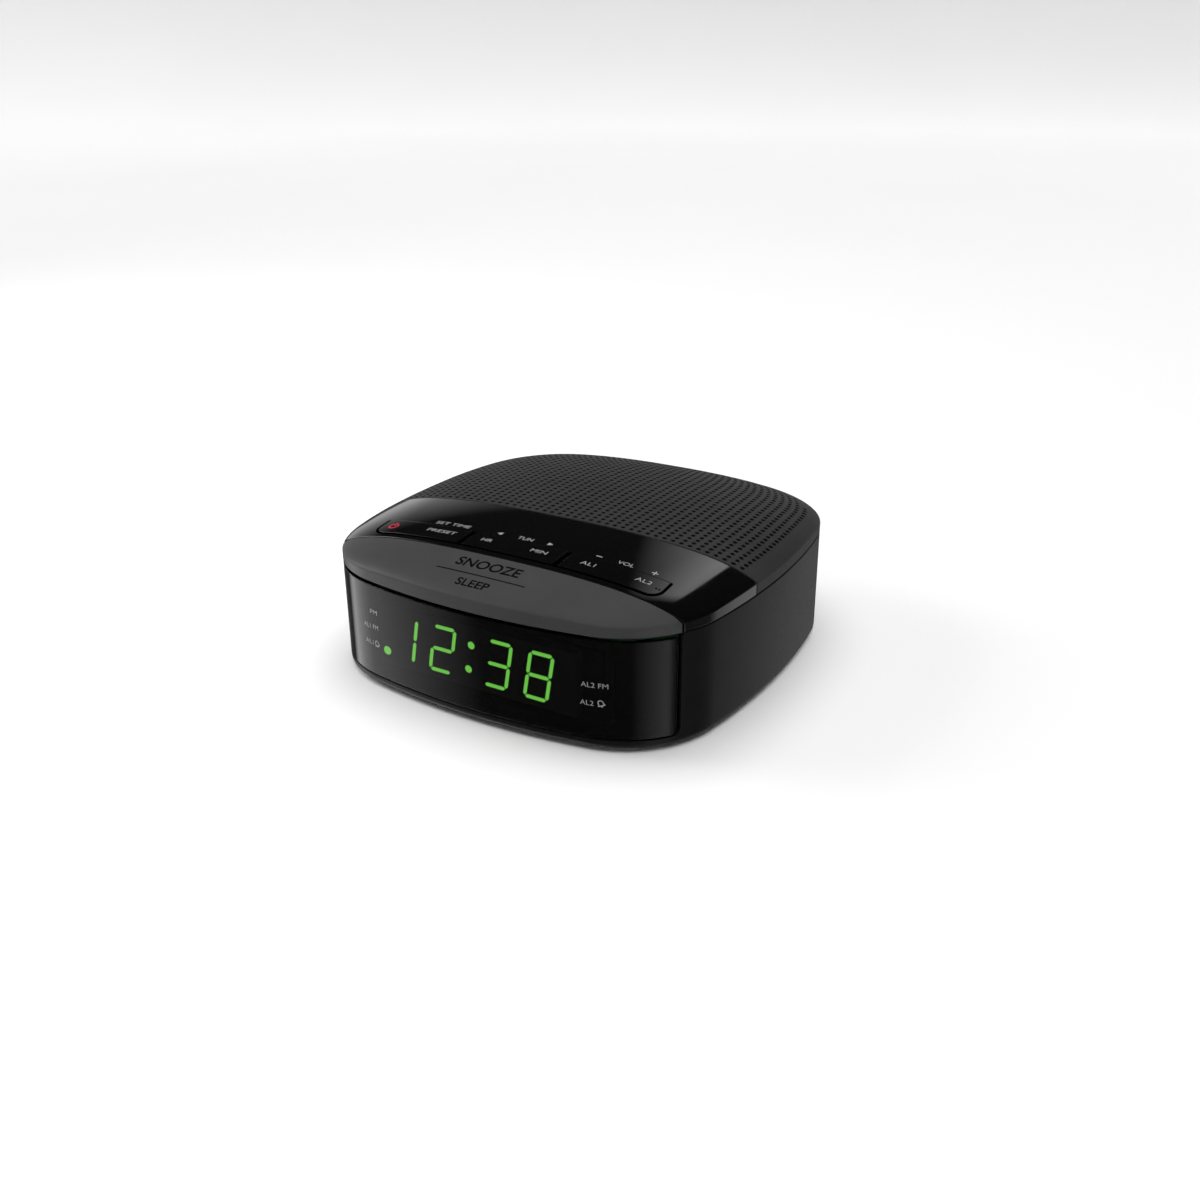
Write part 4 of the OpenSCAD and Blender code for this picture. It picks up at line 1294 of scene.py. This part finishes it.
# ---------------------------------------------------------------- CAD nodes that stay
def dress_cad_nodes():
    """Materials, and softened edges, for the CAD nodes that are shown as they are."""
    looks = [
        (BASE, ["battery_door"]),
        (moulded_plastic("frame_black", grey(0.003), grey(0.005), (0.5, 0.6), 0.1, strength=0.1),
         ["key_frame", "tact_switches", "tuner_chips", "light_mask"]),
        (moulded_plastic("rubber", grey(0.010), grey(0.016), (0.7, 0.85)),
         ["rubber_feet", "cord_inlet", "antenna_inlet", "speaker_seal"]),
        (moulded_plastic("solder_resist", (0.02, 0.09, 0.03), (0.03, 0.12, 0.04), (0.3, 0.45)),
         ["display_board", "key_board", "main_board"]),
        (moulded_plastic("display_face", (0.13, 0.134, 0.13), (0.14, 0.144, 0.14), (0.4, 0.5),
                         0.1, strength=0.08), ["display_housing"]),
        (STEEL, ["key_pins", "case_screws", "board_screws", "frame_screws", "bracket_screws",
                 "transformer_bracket", "battery_contacts", "tuning_coils", "speaker_basket",
                 "transformer_core"]),
        (moulded_plastic("ferrite", grey(0.03, 0.002), grey(0.05, 0.002), (0.5, 0.7)),
         ["speaker_magnet"]),
        (moulded_plastic("pressed_paper", grey(0.010), grey(0.02), (0.8, 0.95), 0.2, 900),
         ["speaker_cone"]),
        (moulded_plastic("yellow_tape", (0.50, 0.33, 0.05), (0.58, 0.40, 0.07), (0.35, 0.5)),
         ["transformer_coil"]),
        (moulded_plastic("cell_blue", (0.03, 0.13, 0.34), (0.05, 0.17, 0.42), (0.2, 0.3)),
         ["backup_cells"]),
        (moulded_plastic("capacitor_sleeve", (0.02, 0.03, 0.10), (0.03, 0.04, 0.13), (0.2, 0.35)),
         ["board_capacitors"]),
        (moulded_plastic("ribbon_film", (0.5, 0.47, 0.36), (0.58, 0.55, 0.44), (0.35, 0.5)),
         ["display_ribbon"]),
    ]
    for material, nodes in looks:
        for node in nodes:
            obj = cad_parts[node]
            obj.data.materials.clear()
            obj.data.materials.append(material)
    for node, width in {
        "rubber_feet": 0.5, "battery_door": 0.25, "cord_inlet": 0.3, "antenna_inlet": 0.2,
        "key_frame": 0.15, "case_screws": 0.2, "display_housing": 0.1,
    }.items():
        soften(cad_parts[node], width)


# ---------------------------------------------------------------- studio
def stand(obj, side, up, back, at):
    """Links an object at a point, with its own axes along three directions."""
    pose = Matrix.Identity(4)
    for column, values in enumerate((side, up, back, at)):
        for row in range(3):
            pose[row][column] = values[row]
    obj.matrix_world = pose
    bpy.context.scene.collection.objects.link(obj)


def build_camera():
    """Camera right of the front, a little above, as close as a product shot."""
    azimuth, elevation, roll = math.radians(31.747), math.radians(23.012), math.radians(-0.644)
    distance = 0.40919
    focal_share = 1.06563
    aim = np.array([0, 0, 0.021])
    back = np.array([math.sin(azimuth) * math.cos(elevation),
                     -math.cos(azimuth) * math.cos(elevation), math.sin(elevation)])
    level = np.array([math.cos(azimuth), math.sin(azimuth), 0])
    over = np.cross(back, level)
    right = math.cos(roll) * level + math.sin(roll) * over
    up = -math.sin(roll) * level + math.cos(roll) * over
    data = bpy.data.cameras.new("camera")
    data.sensor_width = 36
    data.lens = 36 * focal_share
    data.shift_x = 0.010945
    data.shift_y = -0.019353
    camera = bpy.data.objects.new("camera", data)
    stand(camera, right, up, back, aim + back * distance)
    bpy.context.scene.camera = camera


def soft_box(name, at, aim, width, height, watts):
    """Rectangular light aimed at a point."""
    data = bpy.data.lights.new(name, "AREA")
    data.shape = "RECTANGLE"
    data.size, data.size_y = width, height
    data.energy = watts
    back = np.array(at) - np.array(aim)
    back /= np.linalg.norm(back)
    side = np.cross((0, 0, 1), back)
    side /= np.linalg.norm(side)
    stand(bpy.data.objects.new(name, data), side, np.cross(back, side), back, at)


def build_sweep():
    """Plain white sweep: a flat floor under the radio that curves up, far off, all round it."""
    material, tree, shader = new_material("sweep_white")
    tone = ramp(tree, noise(tree, 2.0, 2, 0.5, 0.3), 0.3, 0.7)
    feed(shader, "Base Color", blend_colour(tree, tone, grey(0.90), grey(0.92)))
    shader.inputs["Roughness"].default_value = 0.9
    flat_r, bend_r, bend_h, turns = 2.4, 1.2, 1.6, 72
    profile = [(r, 0.0) for r in (0.05, 0.12, 0.3, 0.8, 1.6, flat_r)]
    profile += [(flat_r + bend_r * math.sin(t), bend_h * (1 - math.cos(t)))
                for t in np.linspace(0.15, 1.35, 10)]
    points = [(r * math.cos(2 * math.pi * k / turns), r * math.sin(2 * math.pi * k / turns), z)
              for r, z in profile for k in range(turns)]
    points.append((0, 0, 0))
    faces = [[len(points) - 1, k, (k + 1) % turns] for k in range(turns)]
    for ring in range(len(profile) - 1):
        a, b = ring * turns, (ring + 1) * turns
        faces += [[a + k, b + k, b + (k + 1) % turns, a + (k + 1) % turns] for k in range(turns)]
    sweep = mesh_object("sweep", np.array(points) / MM, None, faces)
    sweep.data.materials.append(material)
    sweep.visible_glossy = False


def build_lights():
    """A broad light overhead, which the radio doesn't mirror, and a soft box on the left."""
    sun = bpy.data.lights.new("overhead", "SUN")
    sun.energy = 3.0
    sun.angle = math.radians(75)
    overhead = bpy.data.objects.new("overhead", sun)
    overhead.rotation_euler = (math.radians(-8), math.radians(6), 0)
    overhead.visible_glossy = False
    bpy.context.scene.collection.objects.link(overhead)
    soft_box("left_box", (-0.55, -0.15, 0.32), (-0.14, -0.06, 0), 0.35, 0.35, 2.2)


def build_world():
    """Studio surroundings: a pale horizon, dimmer on the right, darkness above, one tall soft
    panel behind on the left, and low panels that only reflections show."""
    world = bpy.data.worlds.new("studio")
    world.use_nodes = True
    tree = world.node_tree
    toward = tree.nodes.new("ShaderNodeTexCoord")
    split = tree.nodes.new("ShaderNodeSeparateXYZ")
    tree.links.new(toward.outputs["Generated"], split.inputs["Vector"])

    def combined(operation, first, *others):
        """One value from several, taken two at a time."""
        for value in others:
            node = tree.nodes.new("ShaderNodeMath")
            node.operation = operation
            tree.links.new(first, node.inputs[0])
            tree.links.new(value, node.inputs[1])
            first = node.outputs[0]
        return first

    bearing = combined("ARCTAN2", split.outputs["X"], split.outputs["Y"])

    def by_bearing(start, end, low, high):
        """From low to high between two bearings: 0 degrees is behind, 90 on the right."""
        return ramp(tree, bearing, math.radians(start), math.radians(end), low, high)

    def by_height(start, end, low, high):
        """From low to high between two sines of the angle above the floor."""
        return ramp(tree, split.outputs["Z"], start, end, low, high)

    def panel(rise_0, rise_1, fall_0, fall_1, strength):
        """Light that rises between two bearings and falls between two others."""
        return combined("MULTIPLY", by_bearing(rise_0, rise_1, 0, strength),
                        by_bearing(fall_0, fall_1, 1, 0))

    tall = combined("MULTIPLY", panel(-27, -12, -9, -8, 1.6), by_height(0.38, 0.46, 0, 1),
                    by_height(0.74, 0.8, 1, 0))
    shade = combined("ADD", by_bearing(30, 50, 1, 0.12), by_bearing(165, 178, 0, 0.5))
    pale = by_height(math.sin(math.radians(5)), math.sin(math.radians(21)), 0.9, 0.015)
    horizon = combined("MULTIPLY", pale, shade, by_height(-0.05, 0.0, 0, 1))
    panels = combined("ADD", panel(-146, -115, -88, -76, 3.2), panel(97, 106, 108, 143, 2.4),
                      panel(-10, 20, 38, 56, 0.8), by_bearing(-160, -150, 0.09, 0.1))
    low = combined("MULTIPLY", panels, by_height(-0.05, 0.0, 1, 0))
    background = tree.nodes["Background"]
    background.inputs["Color"].default_value = (1, 1, 1, 1)
    tree.links.new(combined("ADD", horizon, low, tall), background.inputs["Strength"])
    bpy.context.scene.world = world
    bpy.context.scene.view_settings.view_transform = "Standard"


build_camera()
build_cover()
build_band()
for key_name, key_body, key_end in (
    ("power_key_cap", "power_rocker", -1),
    ("tuning_key_cap", "tuning_rocker", 0),
    ("volume_key_cap", "volume_rocker", 1),
):
    build_key(key_name, key_body, key_end)
build_snooze()
build_lens()
build_base()
build_bay()
build_digits()
build_legends()
dress_cad_nodes()
build_springs()
build_sweep()
build_lights()
build_world()
